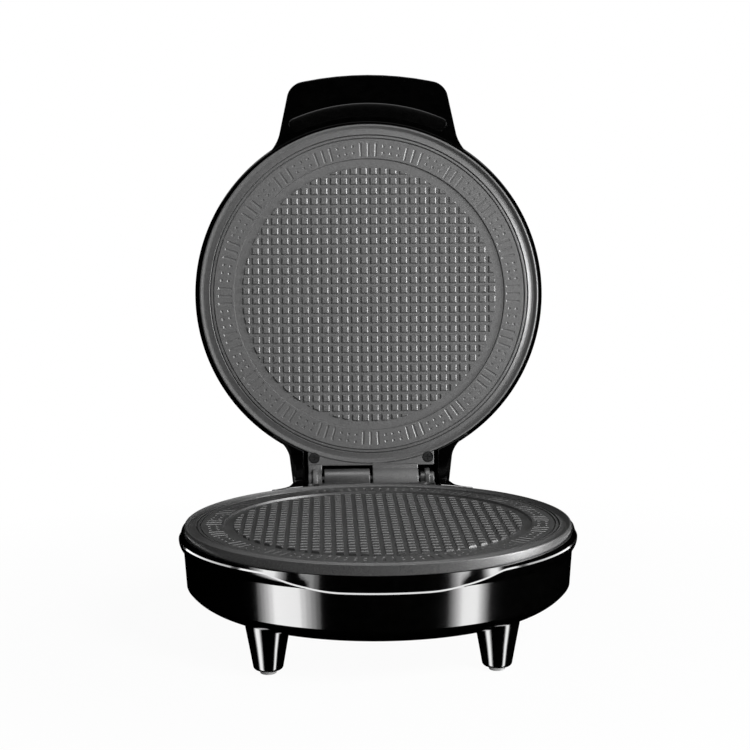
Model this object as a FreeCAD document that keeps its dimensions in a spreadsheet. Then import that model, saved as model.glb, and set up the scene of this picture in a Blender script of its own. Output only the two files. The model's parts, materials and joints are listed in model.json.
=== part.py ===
import FreeCAD, Part
import math
import os
import Sketcher
from FreeCAD import Placement, Rotation, Vector

# A round cone-waffle iron with its lid open: two equal cast plates on one hinge pin, in a base
# and a lid of gloss plastic, on four tapered feet. Millimetres, +Z up, origin on the table under
# the centre of the lower plate, front towards -Y.
#
# Each half is drawn in its own frame: the parting plane of the closed iron is z = 0, the half
# lies below it, its front is towards -Y and the hinge axis runs along X at y = hinge_reach.
# The lid is that frame turned over and then swung open about the hinge.

SIZES = {
    "parting_height": 62.4,
    "hinge_overhang": 9.3,
    "open_angle": 93.1,
    "seat_clearance": 0.15,
    "swing_clearance": 1.2,
    # plate: depths are measured down from the parting plane
    "plate_radius": 98.9,
    "plate_depth": 5.8,
    "rim_top_depth": 0.2,
    "rim_round": 1.7,
    "rim_inset": 2.0,
    "channel_inset": 3.5,
    "channel_width": 1.6,
    "channel_depth": 2.9,
    "ridge_inset": 5.9,
    "ridge_depth": 1.05,
    "outer_line_inset": 6.35,
    "inner_line_inset": 8.15,
    "line_width": 0.7,
    "line_depth": 2.0,
    "band_depth": 1.25,
    "land_depth": 1.4,
    "field_inset": 19.65,
    "field_depth": 2.5,
    "field_slope": 0.4,
    # raised pads of the waffle field
    "pad_pitch": 5.75,
    "pad_width": 3.3,
    "street_depth": 1.0,
    "pad_circle_inset": 24.9,
    # engraved dashes on the land
    "dash_groups": 20,
    "dash_step": 3.0,
    "dash_inset": 14.75,
    "dash_length": 7.9,
    "dash_width": 1.2,
    "dash_depth": 0.6,
    # hinge
    "bracket_half_width": 37.0,
    "bracket_overhang": 1.1,
    "bracket_top_depth": 0.5,
    "barrel_radius": 6.3,
    "barrel_near": 0.8,
    "barrel_far": 27.5,
    "lug_near": 28.8,
    "lug_far": 36.8,
    "lug_radius": 4.2,
    "ear_width": 2.8,
    "pin_radius": 2.5,
    "pin_clearance": 0.05,
    "screw_x": 33.4,
    "screw_inset": 3.5,
    "screw_head_radius": 3.0,
    "screw_head_height": 1.6,
    "screw_head_setback": 0.5,
    "screw_shank_radius": 1.6,
    "screw_length": 12.0,
    # housings
    "lip_gap": 0.4,
    "lip_top_width": 0.6,
    "lip_top_depth": 3.3,
    "lip_overhang": 3.0,
    "lip_bulge_depth": 6.5,
    "wall_top_overhang": 0.55,
    "wall_top_depth": 12.6,
    "shoulder_depth": 14.0,
    "shoulder_rise": 5.5,
    "seat_outer_inset": 7.4,
    "seat_inner_inset": 11.9,
    "wall_thickness": 3.0,
    "base_wall_inset": 0.7,
    "base_wall_depth": 31.4,
    "base_depth": 39.2,
    "base_bottom_inset": 10.9,
    "base_corner_radius": 22.0,
    "lid_wall_inset": 0.3,
    "lid_wall_depth": 22.0,
    "lid_shoulder_inset": 16.9,
    "lid_shoulder_depth": 34.0,
    "lid_corner_radius": 16.0,
    "lid_depth": 37.0,
    # finger scoop in the front of the base lip
    "scoop_half_flat": 20.0,
    "scoop_run": 31.0,
    "scoop_depth": 14.2,
    "scoop_top_depth": 3.0,
    # hinge tails of the housings
    "tail_root_half_width": 53.9,
    "root_overhang": 1.8,
    "tail_fillet_radius": 14.0,
    "tail_neck_half_width": 47.6,
    "tail_neck_inset": 4.9,
    "tail_end_half_width": 45.0,
    "tail_corner_radius": 5.0,
    "tail_gap": 0.4,
    "lid_tail_overhang": 9.8,
    "base_tail_setback": 0.5,
    "lid_tail_depth": 21.5,
    "base_tail_depth": 31.0,
    "tail_recess_half_width": 39.5,
    # handle
    "handle_root_half_width": 61.3,
    "handle_fillet_radius": 21.0,
    "handle_neck_half_width": 52.0,
    "handle_neck_inset": 7.4,
    "handle_end_half_width": 46.9,
    "handle_end_overhang": 16.1,
    "handle_corner_radius": 8.5,
    "handle_top_half_width": 39.5,
    "handle_top_overhang": 24.7,
    "handle_top_arc": 190.0,
    "handle_face_depth": 5.0,
    "handle_depth": 23.0,
    "handle_bevel": 3.0,
    "cover_inset": 1.8,
    "cover_root_overhang": 3.7,
    "cover_thickness": 2.4,
    "cover_setback": 0.3,
    "band_inner_overhang": 4.5,
    "band_outer_overhang": 11.6,
    "band_half_width": 42.0,
    "band_height": 0.8,
    # feet
    "foot_circle_inset": 18.6,
    "front_foot_angle": 46.8,
    "rear_foot_angle": 64.8,
    "foot_top_radius": 10.8,
    "foot_end_radius": 7.2,
    "foot_end_bevel": 1.6,
    "foot_pad_radius": 4.0,
    "foot_pad_height": 2.0,
    "foot_boss_height": 8.0,
    "foot_screw_length": 12.0,
    # inside
    "element_inset": 36.9,
    "element_tube_radius": 3.3,
    "element_angle": 330.0,
    "element_gap": 0.05,
    "terminal_radius": 1.6,
    "terminal_length": 14.0,
    "reflector_inset": 14.4,
    "reflector_thickness": 0.8,
    "reflector_window_radius": 16.0,
    "thermostat_radius": 8.0,
    "thermostat_height": 11.0,
    "fuse_radius": 2.2,
    "fuse_length": 14.0,
    "fuse_y": 30.0,
    "block_width": 32.0,
    "block_length": 16.0,
    "block_height": 12.0,
    "block_y": 48.0,
    "gland_bore_radius": 3.6,
    "gland_radius": 6.0,
    "gland_flange_radius": 8.5,
    "gland_flange_height": 2.0,
    "gland_depth": 21.5,
    "gland_length": 12.0,
    "lamp_x": 11.0,
    "lamp_inset": 16.0,
    "lamp_radius": 3.0,
    "lamp_length": 8.0,
    "lamp_stand": 0.8,
    "board_width": 36.0,
    "board_length": 14.0,
    "board_thickness": 1.6,
}

# What follows from those sizes: radii and places that keep their distance from the plate's edge.
FORMULAS = {
    "rim_radius": "plate_radius - rim_inset",
    "channel_radius": "plate_radius - channel_inset",
    "ridge_radius": "plate_radius - ridge_inset",
    "outer_line_radius": "plate_radius - outer_line_inset",
    "inner_line_radius": "plate_radius - inner_line_inset",
    "field_radius": "plate_radius - field_inset",
    "pad_circle_radius": "plate_radius - pad_circle_inset",
    "dash_radius": "plate_radius - dash_inset",
    "bracket_reach": "plate_radius + bracket_overhang",
    "hinge_reach": "plate_radius + hinge_overhang",
    "screw_y": "plate_radius - screw_inset",
    "screw_seat_depth": "bracket_top_depth + screw_head_setback + screw_head_height",
    "lip_inner_radius": "plate_radius + lip_gap",
    "lip_radius": "plate_radius + lip_overhang",
    "wall_top_radius": "plate_radius + wall_top_overhang",
    "seat_outer_radius": "plate_radius - seat_outer_inset",
    "seat_inner_radius": "plate_radius - seat_inner_inset",
    "base_wall_radius": "plate_radius - base_wall_inset",
    "base_bottom_radius": "plate_radius - base_bottom_inset",
    "lid_wall_radius": "plate_radius - lid_wall_inset",
    "lid_shoulder_radius": "plate_radius - lid_shoulder_inset",
    "root_radius": "plate_radius + root_overhang",
    "tail_root_y": "sqrt(root_radius ^ 2 - tail_root_half_width ^ 2)",
    "tail_neck_y": "plate_radius - tail_neck_inset",
    "lid_tail_reach": "hinge_reach + lid_tail_overhang",
    "base_tail_reach": "hinge_reach - base_tail_setback",
    "handle_root_y": "sqrt(root_radius ^ 2 - handle_root_half_width ^ 2)",
    "handle_neck_y": "plate_radius - handle_neck_inset",
    "handle_end_y": "plate_radius + handle_end_overhang",
    "handle_top_y": "plate_radius + handle_top_overhang",
    "cover_root_radius": "plate_radius + cover_root_overhang",
    "band_inner_radius": "plate_radius + band_inner_overhang",
    "band_outer_radius": "plate_radius + band_outer_overhang",
    "foot_circle_radius": "plate_radius - foot_circle_inset",
    "front_foot_x": "foot_circle_radius * cos(front_foot_angle)",
    "front_foot_y": "foot_circle_radius * sin(front_foot_angle)",
    "rear_foot_x": "foot_circle_radius * cos(rear_foot_angle)",
    "rear_foot_y": "foot_circle_radius * sin(rear_foot_angle)",
    "element_radius": "plate_radius - element_inset",
    "reflector_radius": "plate_radius - reflector_inset",
    "lamp_y": "lid_shoulder_radius - lamp_inset",
}

doc = FreeCAD.newDocument("waffle_maker")
sheet = doc.addObject("Spreadsheet::Sheet", "Size")
cells = {word: str(number) for word, number in SIZES.items()}
cells.update({word: "=" + formula for word, formula in FORMULAS.items()})
for row, (word, content) in enumerate(cells.items(), start=1):
    sheet.set(f"A{row}", word)
    sheet.set(f"B{row}", content)
    sheet.setAlias(f"B{row}", word)
doc.recompute()


def value(expression):
    """The number that an expression on the sheet comes to."""
    return float(sheet.evalExpression(expression))


def arc_middle(start, end, radius, turn):
    """The middle point of an arc, on the left of its chord when turn is 1 and on the right when -1."""
    chord = end - start
    half = chord.Length / 2
    left = Vector(-chord.y, chord.x, 0).normalize()
    sagitta = radius - math.sqrt(max(radius * radius - half * half, 0.0))
    return (start + end) * 0.5 + left * (turn * sagitta)


def draw(sketch, outline):
    """Draw a closed outline of (x, y) or (x, y, radius, turn) expressions, each corner and arc bound."""
    points = [Vector(value(corner[0]), value(corner[1]), 0) for corner in outline]
    edges = []
    for index, corner in enumerate(outline):
        start = points[index]
        end = points[(index + 1) % len(points)]
        if len(corner) == 4:
            middle = arc_middle(start, end, value(corner[2]), corner[3])
            edges.append(sketch.addGeometry(Part.Arc(start, middle, end)))
        else:
            edges.append(sketch.addGeometry(Part.LineSegment(start, end)))
    ends = [end_positions(sketch, edge, points[index]) for index, edge in enumerate(edges)]
    for index, edge in enumerate(edges):
        following = (index + 1) % len(edges)
        sketch.addConstraint(
            Sketcher.Constraint("Coincident", edge, ends[index][1], edges[following], ends[following][0]))
    for index, corner in enumerate(outline):
        for kind, expression in (("DistanceX", corner[0]), ("DistanceY", corner[1])):
            place = Sketcher.Constraint(kind, -1, 1, edges[index], ends[index][0], value(expression))
            bind_constraint(sketch, place, expression)
        if len(corner) == 4:
            bind_constraint(sketch, Sketcher.Constraint("Radius", edges[index], value(corner[2])), corner[2])


def end_positions(sketch, edge, start):
    """Which of an edge's two ends lies at its start: an arc may be stored the other way round."""
    if sketch.getPoint(edge, 1).isEqual(start, 1e-4):
        return 1, 2
    return 2, 1


def bind_constraint(sketch, constraint, expression):
    number = sketch.addConstraint(constraint)
    sketch.setExpression(f"Constraints[{number}]", expression)


def circle(sketch, x, y, radius):
    """Draw a circle whose centre and radius are bound."""
    ring = sketch.addGeometry(
        Part.Circle(Vector(value(x), value(y), 0), Vector(0, 0, 1), value(radius)))
    for kind, expression in (("DistanceX", x), ("DistanceY", y)):
        bind_constraint(sketch, Sketcher.Constraint(kind, -1, 1, ring, 3, value(expression)), expression)
    bind_constraint(sketch, Sketcher.Constraint("Radius", ring, value(radius)), radius)


def new_body(name):
    return doc.addObject("PartDesign::Body", name)


def new_sketch(body, name, role, offset="0"):
    """A sketch on one of the body's origin planes, moved along the plane's normal by an expression."""
    sketch = body.newObject("Sketcher::SketchObject", name)
    plane = [feature for feature in body.Origin.OriginFeatures if feature.Role == role][0]
    sketch.AttachmentSupport = [(plane, "")]
    sketch.MapMode = "FlatFace"
    sketch.setExpression("AttachmentOffset.Base.z", offset)
    return sketch


def revolve(body, name, outline):
    """Turn an outline of (radius, height) about the body's Z axis."""
    sketch = new_sketch(body, name + "_profile", "XZ_Plane")
    draw(sketch, outline)
    feature = body.newObject("PartDesign::Revolution", name)
    feature.Profile = sketch
    feature.ReferenceAxis = (sketch, ["V_Axis"])
    feature.Angle = 360
    return feature


def extrude(body, kind, name, sketch, length, reverse=False, middle=False):
    """A Pad or a Pocket of a bound length."""
    feature = body.newObject("PartDesign::" + kind, name)
    feature.Profile = sketch
    feature.setExpression("Length", length)
    feature.Reversed = reverse
    feature.Midplane = middle
    return feature


def extrude_outlines(body, kind, name, role, outlines, offset, length, reverse=False):
    sketch = new_sketch(body, name + "_sketch", role, offset)
    for outline in outlines:
        draw(sketch, outline)
    return extrude(body, kind, name, sketch, length, reverse)


def extrude_circles(body, kind, name, role, circles, offset, length, reverse=False):
    sketch = new_sketch(body, name + "_sketch", role, offset)
    for centre_x, centre_y, radius in circles:
        circle(sketch, centre_x, centre_y, radius)
    return extrude(body, kind, name, sketch, length, reverse)


def rectangle(left, low, right, high):
    return [(left, low), (right, low), (right, high), (left, high)]


def arc_steps(start, end, radius, turn, steps):
    """The corners of straight steps along an arc, so that the turned faces are plain cones."""
    across = f"(({end[0]}) - ({start[0]}))"
    up = f"(({end[1]}) - ({start[1]}))"
    chord = f"sqrt({across} ^ 2 + {up} ^ 2)"
    half_angle = f"asin({chord} / (2 * ({radius})))"
    corners = [start]
    for step in range(1, steps):
        angle = f"({half_angle} * {2 * step / steps - 1})"
        along = f"(0.5 + ({radius}) * sin({angle}) / {chord})"
        out = f"({turn} * ({radius}) * (cos({angle}) - cos({half_angle})) / {chord})"
        corners.append((f"{start[0]} + {across} * {along} - {up} * {out}",
                        f"{start[1]} + {up} * {along} + {across} * {out}"))
    return corners


def mirrored(half, closing=()):
    """A closed outline from its right-hand half and the arc, if any, that closes it across the middle.

    An arc belongs to the corner that it starts from, so on the way back it starts from its other end.
    """
    back = []
    for index in range(len(half) - 1, -1, -1):
        x, y = half[index][0], half[index][1]
        arc = half[index - 1][2:] if index > 0 else closing
        back.append((f"-({x})", y) + tuple(arc))
    return list(half) + back


FLIP = Rotation(Vector(0, 1, 0), 180)


def base_placement():
    return Placement(Vector(0, 0, value("Size.parting_height")), Rotation())


def lid_placement():
    """The half frame turned over onto the parting plane, then swung open about the hinge axis."""
    axis_point = Vector(0, value("Size.hinge_reach"), value("Size.parting_height"))
    closed = Placement(Vector(0, 0, value("Size.parting_height")), FLIP)
    swing = Rotation(Vector(1, 0, 0), -value("Size.open_angle"))
    return Placement(axis_point, swing) * Placement(-axis_point, Rotation()) * closed


# The waffle plate: a turned disc with rim, channel, ridge, two fine lines and land, the hinge bracket
# cast on it, dashes engraved round the land and the field of raised pads.

BARREL_ARM_Y = "Size.bracket_reach - 1"


def plate_profile():
    rim_shoulder = ("Size.plate_radius", "-Size.rim_top_depth - Size.rim_round")
    rim_top = ("Size.plate_radius - Size.rim_round", "-Size.rim_top_depth")
    return [
        ("0", "-Size.plate_depth"),
        ("Size.plate_radius - Size.field_slope", "-Size.plate_depth"),
        ("Size.plate_radius", "-Size.plate_depth + Size.field_slope"),
        *arc_steps(rim_shoulder, rim_top, "Size.rim_round", -1, 3),
        rim_top,
        ("Size.rim_radius", "-Size.rim_top_depth"),
        ("Size.channel_radius + Size.channel_width / 2", "-Size.channel_depth"),
        ("Size.channel_radius - Size.channel_width / 2", "-Size.channel_depth"),
        ("Size.ridge_radius", "-Size.ridge_depth"),
        ("Size.outer_line_radius", "-Size.line_depth"),
        ("Size.outer_line_radius - Size.line_width / 2", "-Size.band_depth"),
        ("Size.inner_line_radius + Size.line_width / 2", "-Size.band_depth"),
        ("Size.inner_line_radius", "-Size.line_depth"),
        ("Size.inner_line_radius - Size.line_width / 2", "-Size.land_depth"),
        ("Size.field_radius", "-Size.land_depth"),
        ("Size.field_radius - Size.field_slope", "-Size.field_depth"),
        ("Size.pad_circle_radius + Size.field_slope", "-Size.field_depth"),
        ("Size.pad_circle_radius", "-Size.land_depth"),
        ("0", "-Size.land_depth"),
    ]


def dash_outline(angle):
    """A radial rectangle on the land, turned from the Y axis by an angle in degrees."""
    outline = []
    for across, along in ((-1, -1), (1, -1), (1, 1), (-1, 1)):
        side = f"({across} * Size.dash_width / 2)"
        radius = f"(Size.dash_radius + {along} * Size.dash_length / 2)"
        outline.append((f"{side} * cos({angle}) - {radius} * sin({angle})",
                        f"{side} * sin({angle}) + {radius} * cos({angle})"))
    return outline


def knuckle(body, name, near, far, radius):
    """A hinge knuckle on its arm between two places along the pin."""
    width = f"({far}) - ({near})"
    arm = rectangle(BARREL_ARM_Y, "-Size.plate_depth", "Size.hinge_reach", "-Size.bracket_top_depth")
    extrude_outlines(body, "Pad", name + "_arm", "YZ_Plane", [arm], near, width)
    extrude_circles(body, "Pad", name, "YZ_Plane", [("Size.hinge_reach", "0", radius)], near, width)


def plate_blank():
    body = new_body("plate_blank")
    revolve(body, "plate_disc", plate_profile())
    root_radius = "(Size.plate_radius - Size.rim_round)"
    root_y = f"sqrt(({root_radius}) ^ 2 - Size.bracket_half_width ^ 2)"
    bracket = [
        ("Size.bracket_half_width", root_y),
        ("Size.bracket_half_width", "Size.bracket_reach"),
        ("-Size.bracket_half_width", "Size.bracket_reach"),
        ("-Size.bracket_half_width", root_y, root_radius, 1),
    ]
    extrude_outlines(body, "Pad", "hinge_bracket", "XY_Plane", [bracket], "-Size.bracket_top_depth",
                     "Size.plate_depth - Size.bracket_top_depth", reverse=True)
    knuckle(body, "barrel", "-Size.barrel_far", "-Size.barrel_near", "Size.barrel_radius")
    knuckle(body, "lug", "Size.lug_near", "Size.lug_far", "Size.lug_radius")
    ear_middle = "(Size.lug_near + Size.lug_far) / 2"
    extrude_circles(body, "Pad", "lug_ear", "YZ_Plane", [("Size.hinge_reach", "0", "Size.barrel_radius")],
                    f"{ear_middle} - Size.ear_width / 2", "Size.ear_width")
    bore = "Size.pin_radius + Size.pin_clearance"
    extrude_circles(body, "Pocket", "pin_bore", "YZ_Plane", [("Size.hinge_reach", "0", bore)],
                    "-Size.bracket_half_width", "2 * Size.bracket_half_width", reverse=True)
    shank = "Size.screw_shank_radius + Size.seat_clearance"
    head = "Size.screw_head_radius + Size.seat_clearance"
    for word, radius, depth in (("screw_hole", shank, "Size.plate_depth"),
                                ("screw_recess", head, "Size.screw_seat_depth")):
        circles = [(f"{side} * Size.screw_x", "Size.screw_y", radius) for side in (-1, 1)]
        extrude_circles(body, "Pocket", word, "XY_Plane", circles, "0", depth)
    dashes = [dash_outline(f"{step} * Size.dash_step") for step in (-1, 0, 1)]
    pocket = extrude_outlines(body, "Pocket", "dash_group", "XY_Plane", dashes,
                              "-Size.land_depth", "Size.dash_depth")
    pattern = body.newObject("PartDesign::PolarPattern", "dashes")
    pattern.Originals = [pocket]
    pattern.Axis = (pocket.Profile[0], ["N_Axis"])
    pattern.Angle = 360
    pattern.setExpression("Occurrences", "Size.dash_groups")
    body.Tip = pattern
    return body


def street_tools():
    """A V-shaped cutter for each street between two rows of pads, its ends in the open ring round them."""
    pitch = value("Size.pad_pitch")
    limit = value("Size.pad_circle_radius")
    overrun = value("(Size.field_radius - Size.pad_circle_radius) / 2")
    top = -value("Size.land_depth")
    half_width = value("(Size.pad_pitch - Size.pad_width) / 2")
    streets_each_side = int(limit / pitch)
    tools = []
    for street in range(-streets_each_side, streets_each_side + 1):
        x = street * pitch
        reach = math.sqrt(limit ** 2 - x ** 2) + overrun
        corners = [(x - half_width, top), (x, top - value("Size.street_depth")), (x + half_width, top)]
        ring = [Vector(across, -reach, height) for across, height in corners]
        tools.append(Part.Face(Part.makePolygon(ring + ring[:1])).extrude(Vector(0, 2 * reach, 0)))
    return tools


def waffle_plates():
    """The lower plate, and the upper plate as the same casting turned over.

    The streets are cut in both directions in code, because each street has its own length.
    """
    blank = plate_blank()
    doc.recompute()
    lengthwise = street_tools()
    crosswise = [tool.rotated(Vector(), Vector(0, 0, 1), 90) for tool in lengthwise]
    casting = blank.Shape.cut(lengthwise).cut(crosswise).removeSplitter()
    plates = []
    for label, place in (("lower_plate", base_placement()), ("upper_plate", lid_placement())):
        plate = doc.addObject("Part::Feature", label)
        plate.Shape = casting
        plate.Placement = place
        plates.append(plate)
    return plates


# The housings: turned cups with a rounded lip, a sloped shoulder and a flat seat under the plate,
# a tail round the hinge, and the handle on the lid.

def upright_arc_radius(across, along):
    """The radius of an arc that is upright at one end and reaches so far across and along from it."""
    return f"((({across}) ^ 2 + ({along}) ^ 2) / (2 * ({across})))"


def cup_profile(outside, inside):
    """The outline of a cup from the middle of its closed end, out, over the lip and back inside."""
    wall_top = ("Size.wall_top_radius", "-Size.wall_top_depth")
    bulge = ("Size.lip_radius", "-Size.lip_bulge_depth")
    lip_top = ("Size.lip_inner_radius + Size.lip_top_width", "-Size.lip_top_depth")
    under = upright_arc_radius("Size.lip_radius - Size.wall_top_radius",
                               "Size.wall_top_depth - Size.lip_bulge_depth")
    over = upright_arc_radius("Size.lip_radius - Size.lip_inner_radius - Size.lip_top_width",
                              "Size.lip_bulge_depth - Size.lip_top_depth")
    lip_and_seat = [
        *arc_steps(wall_top, bulge, under, -1, 3),
        *arc_steps(bulge, lip_top, over, -1, 3),
        lip_top,
        ("Size.lip_inner_radius", "-Size.lip_top_depth - Size.lip_top_width / 2"),
        ("Size.lip_inner_radius", "-Size.shoulder_depth"),
        ("Size.seat_outer_radius", "-Size.shoulder_depth + Size.shoulder_rise"),
        ("Size.seat_outer_radius", "-Size.plate_depth"),
        ("Size.seat_inner_radius", "-Size.plate_depth"),
        ("Size.seat_inner_radius", "-Size.shoulder_depth"),
        ("Size.wall_top_radius - Size.wall_thickness", "-Size.shoulder_depth - 2 * Size.wall_thickness"),
    ]
    return outside + lip_and_seat + inside


def base_profile():
    bottom_edge = ("Size.base_bottom_radius", "-Size.base_depth")
    wall_foot = ("Size.base_wall_radius", "-Size.base_wall_depth")
    outside = [
        ("0", "-Size.base_depth"),
        *arc_steps(bottom_edge, wall_foot, "Size.base_corner_radius", -1, 3),
        wall_foot,
    ]
    inside = [
        ("Size.base_wall_radius - Size.wall_thickness", "-Size.base_wall_depth"),
        ("Size.base_bottom_radius - Size.wall_thickness / 2", "-Size.base_depth + Size.wall_thickness"),
        ("0", "-Size.base_depth + Size.wall_thickness"),
    ]
    return cup_profile(outside, inside)


def lid_profile():
    rise = "(Size.lid_depth - Size.lid_shoulder_depth)"
    crown = f"(Size.lid_shoulder_radius ^ 2 + {rise} ^ 2) / (2 * {rise})"
    top = ("0", "-Size.lid_depth")
    shoulder = ("Size.lid_shoulder_radius", "-Size.lid_shoulder_depth")
    wall_end = ("Size.lid_wall_radius", "-Size.lid_wall_depth")
    outside = [
        *arc_steps(top, shoulder, crown, -1, 4),
        *arc_steps(shoulder, wall_end, "Size.lid_corner_radius", -1, 4),
        wall_end,
    ]
    inside = [
        ("Size.lid_wall_radius - Size.wall_thickness", "-Size.lid_wall_depth"),
        ("Size.lid_shoulder_radius - Size.wall_thickness / 2",
         "-Size.lid_shoulder_depth + Size.wall_thickness"),
        ("0", "-Size.lid_depth + Size.wall_thickness"),
    ]
    return cup_profile(outside, inside)


def wall_point(x, y):
    """The point inside the seat ring in the direction of a point on the lip, and its radius."""
    radius = "(Size.seat_inner_radius + Size.wall_thickness)"
    share = f"({radius} / sqrt(({x}) ^ 2 + ({y}) ^ 2))"
    return f"({x}) * {share}", f"({y}) * {share}", radius


def tail_outline(reach):
    """The hinge tail from above, flared into the round wall."""
    inner_x, inner_y, inner_radius = wall_point("Size.tail_root_half_width", "Size.tail_root_y")
    half = [
        (inner_x, inner_y),
        ("Size.tail_root_half_width", "Size.tail_root_y", "Size.tail_fillet_radius", 1),
        ("Size.tail_neck_half_width", "Size.tail_neck_y"),
        ("Size.tail_end_half_width", f"{reach} - Size.tail_corner_radius", "Size.tail_corner_radius", -1),
        ("Size.tail_end_half_width - Size.tail_corner_radius", reach),
    ]
    return mirrored(half, (inner_radius, 1))


def add_tail(body, reach, depth):
    extrude_outlines(body, "Pad", "tail", "XY_Plane", [tail_outline(reach)], "-Size.tail_gap",
                     f"{depth} - Size.tail_gap", reverse=True)


def cut_plate_room(body):
    """Room for the plate, its bracket and the swinging knuckles, and the holes of the bracket screws."""
    extrude_circles(body, "Pocket", "plate_room", "XY_Plane", [("0", "0", "Size.lip_inner_radius")],
                    "0", "Size.plate_depth")
    side = "Size.bracket_half_width + Size.seat_clearance"
    bracket = rectangle(f"-({side})", "0", side, "Size.hinge_reach")
    extrude_outlines(body, "Pocket", "bracket_room", "XY_Plane", [bracket], "0", "Size.plate_depth")
    knuckles = [("Size.hinge_reach", "0", "Size.barrel_radius + Size.swing_clearance")]
    extrude_circles(body, "Pocket", "knuckle_room", "YZ_Plane", knuckles, "-Size.tail_recess_half_width",
                    "2 * Size.tail_recess_half_width", reverse=True)
    holes = [(f"{side} * Size.screw_x", "Size.screw_y", "Size.screw_shank_radius + Size.seat_clearance")
             for side in (-1, 1)]
    extrude_circles(body, "Pocket", "screw_pilots", "XY_Plane", holes, "0",
                    "Size.screw_seat_depth + Size.screw_length + 1")


def scoop_tool():
    """The front stretch of the lip that the finger scoop takes away."""
    sweep = new_body("scoop_sweep")
    half_rise = "((Size.scoop_depth - Size.scoop_top_depth) / 2)"
    bend = f"(Size.scoop_run ^ 2 + {half_rise} ^ 2) / (2 * {half_rise})"
    end_x = "Size.scoop_half_flat + 2 * Size.scoop_run"
    half = [
        ("Size.scoop_half_flat", "-Size.scoop_depth", bend, -1),
        ("Size.scoop_half_flat + Size.scoop_run", f"-Size.scoop_depth + {half_rise}", bend, 1),
        (end_x, "-Size.scoop_top_depth"),
        (end_x, "Size.scoop_top_depth"),
    ]
    extrude_outlines(sweep, "Pad", "scoop_pad", "XZ_Plane", [mirrored(half)], "0",
                     "2 * Size.lip_inner_radius")
    ring = new_body("scoop_ring")
    outer = "Size.lip_radius + Size.wall_thickness"
    revolve(ring, "scoop_ring_turn",
            rectangle("Size.lip_inner_radius", "-2 * Size.scoop_depth", outer, "Size.scoop_top_depth"))
    tool = doc.addObject("Part::Common", "scoop_tool")
    tool.Base = sweep
    tool.Tool = ring
    return tool


FOOT_PLACES = {
    "foot_front_left": ("-Size.front_foot_x", "-Size.front_foot_y"),
    "foot_front_right": ("Size.front_foot_x", "-Size.front_foot_y"),
    "foot_rear_left": ("-Size.rear_foot_x", "Size.rear_foot_y"),
    "foot_rear_right": ("Size.rear_foot_x", "Size.rear_foot_y"),
}


def base_housing():
    body = new_body("base_cup")
    revolve(body, "base_turn", base_profile())
    add_tail(body, "Size.base_tail_reach", "Size.base_tail_depth")
    bosses = [(x, y, "Size.foot_top_radius") for x, y in FOOT_PLACES.values()]
    extrude_circles(body, "Pad", "foot_bosses", "XY_Plane", bosses, "-Size.base_depth",
                    "Size.foot_boss_height")
    cut_plate_room(body)
    holes = [(x, y, "Size.screw_shank_radius + Size.seat_clearance") for x, y in FOOT_PLACES.values()]
    extrude_circles(body, "Pocket", "foot_screw_holes", "XY_Plane", holes, "-Size.base_depth",
                    "Size.foot_boss_height", reverse=True)
    extrude_circles(body, "Pocket", "gland_hole", "XZ_Plane",
                    [("0", "-Size.gland_depth", "Size.gland_radius + Size.seat_clearance")],
                    "-Size.base_tail_reach", "Size.base_tail_reach - Size.seat_inner_radius", reverse=True)
    housing = doc.addObject("Part::Cut", "base_housing")
    housing.Base = body
    housing.Tool = scoop_tool()
    housing.Placement = base_placement()
    return housing


def handle_outline(inset):
    """The handle from below, or its smaller far face inside the bevel."""
    root_x = f"(Size.handle_root_half_width - {inset})"
    inner_x, inner_y, inner_radius = wall_point(root_x, "-Size.handle_root_y")
    half = [
        (inner_x, inner_y),
        (root_x, "-Size.handle_root_y", "Size.handle_fillet_radius", -1),
        (f"Size.handle_neck_half_width - {inset}", "-Size.handle_neck_y"),
        (f"Size.handle_end_half_width - {inset}", "-Size.handle_end_y", "Size.handle_corner_radius", 1),
        (f"Size.handle_top_half_width - {inset} / 2", f"-Size.handle_top_y + {inset}",
         "Size.handle_top_arc", 1),
    ]
    return mirrored(half, (inner_radius, -1))


def cover_outline(inset):
    """The panel in the handle's underside, set in from the handle's edge."""
    root_x = f"(Size.handle_neck_half_width - 2 * ({inset}))"
    half = [
        (root_x, f"-sqrt((Size.cover_root_radius) ^ 2 - {root_x} ^ 2)"),
        (f"Size.handle_end_half_width - ({inset})", "-Size.handle_end_y",
         f"Size.handle_corner_radius - ({inset})", 1),
        (f"Size.handle_top_half_width - ({inset}) / 4", f"-Size.handle_top_y + ({inset})",
         "Size.handle_top_arc", 1),
    ]
    return mirrored(half, ("Size.cover_root_radius", -1))


def add_handle(body):
    """The handle block and the bevelled layer on its far face."""
    bevel_start = "-Size.handle_depth + Size.handle_bevel"
    extrude_outlines(body, "Pad", "handle", "XY_Plane", [handle_outline("0")], "-Size.handle_face_depth",
                     "Size.handle_depth - Size.handle_bevel - Size.handle_face_depth", reverse=True)
    sections = []
    for name, height, inset in (("bevel_start", bevel_start, "0"),
                                ("bevel_end", "-Size.handle_depth", "Size.handle_bevel")):
        sketch = new_sketch(body, name, "XY_Plane", height)
        draw(sketch, handle_outline(inset))
        sections.append(sketch)
    bevel = body.newObject("PartDesign::AdditiveLoft", "handle_bevel")
    bevel.Profile = sections[0]
    bevel.Sections = [sections[1]]
    bevel.Ruled = True


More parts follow.
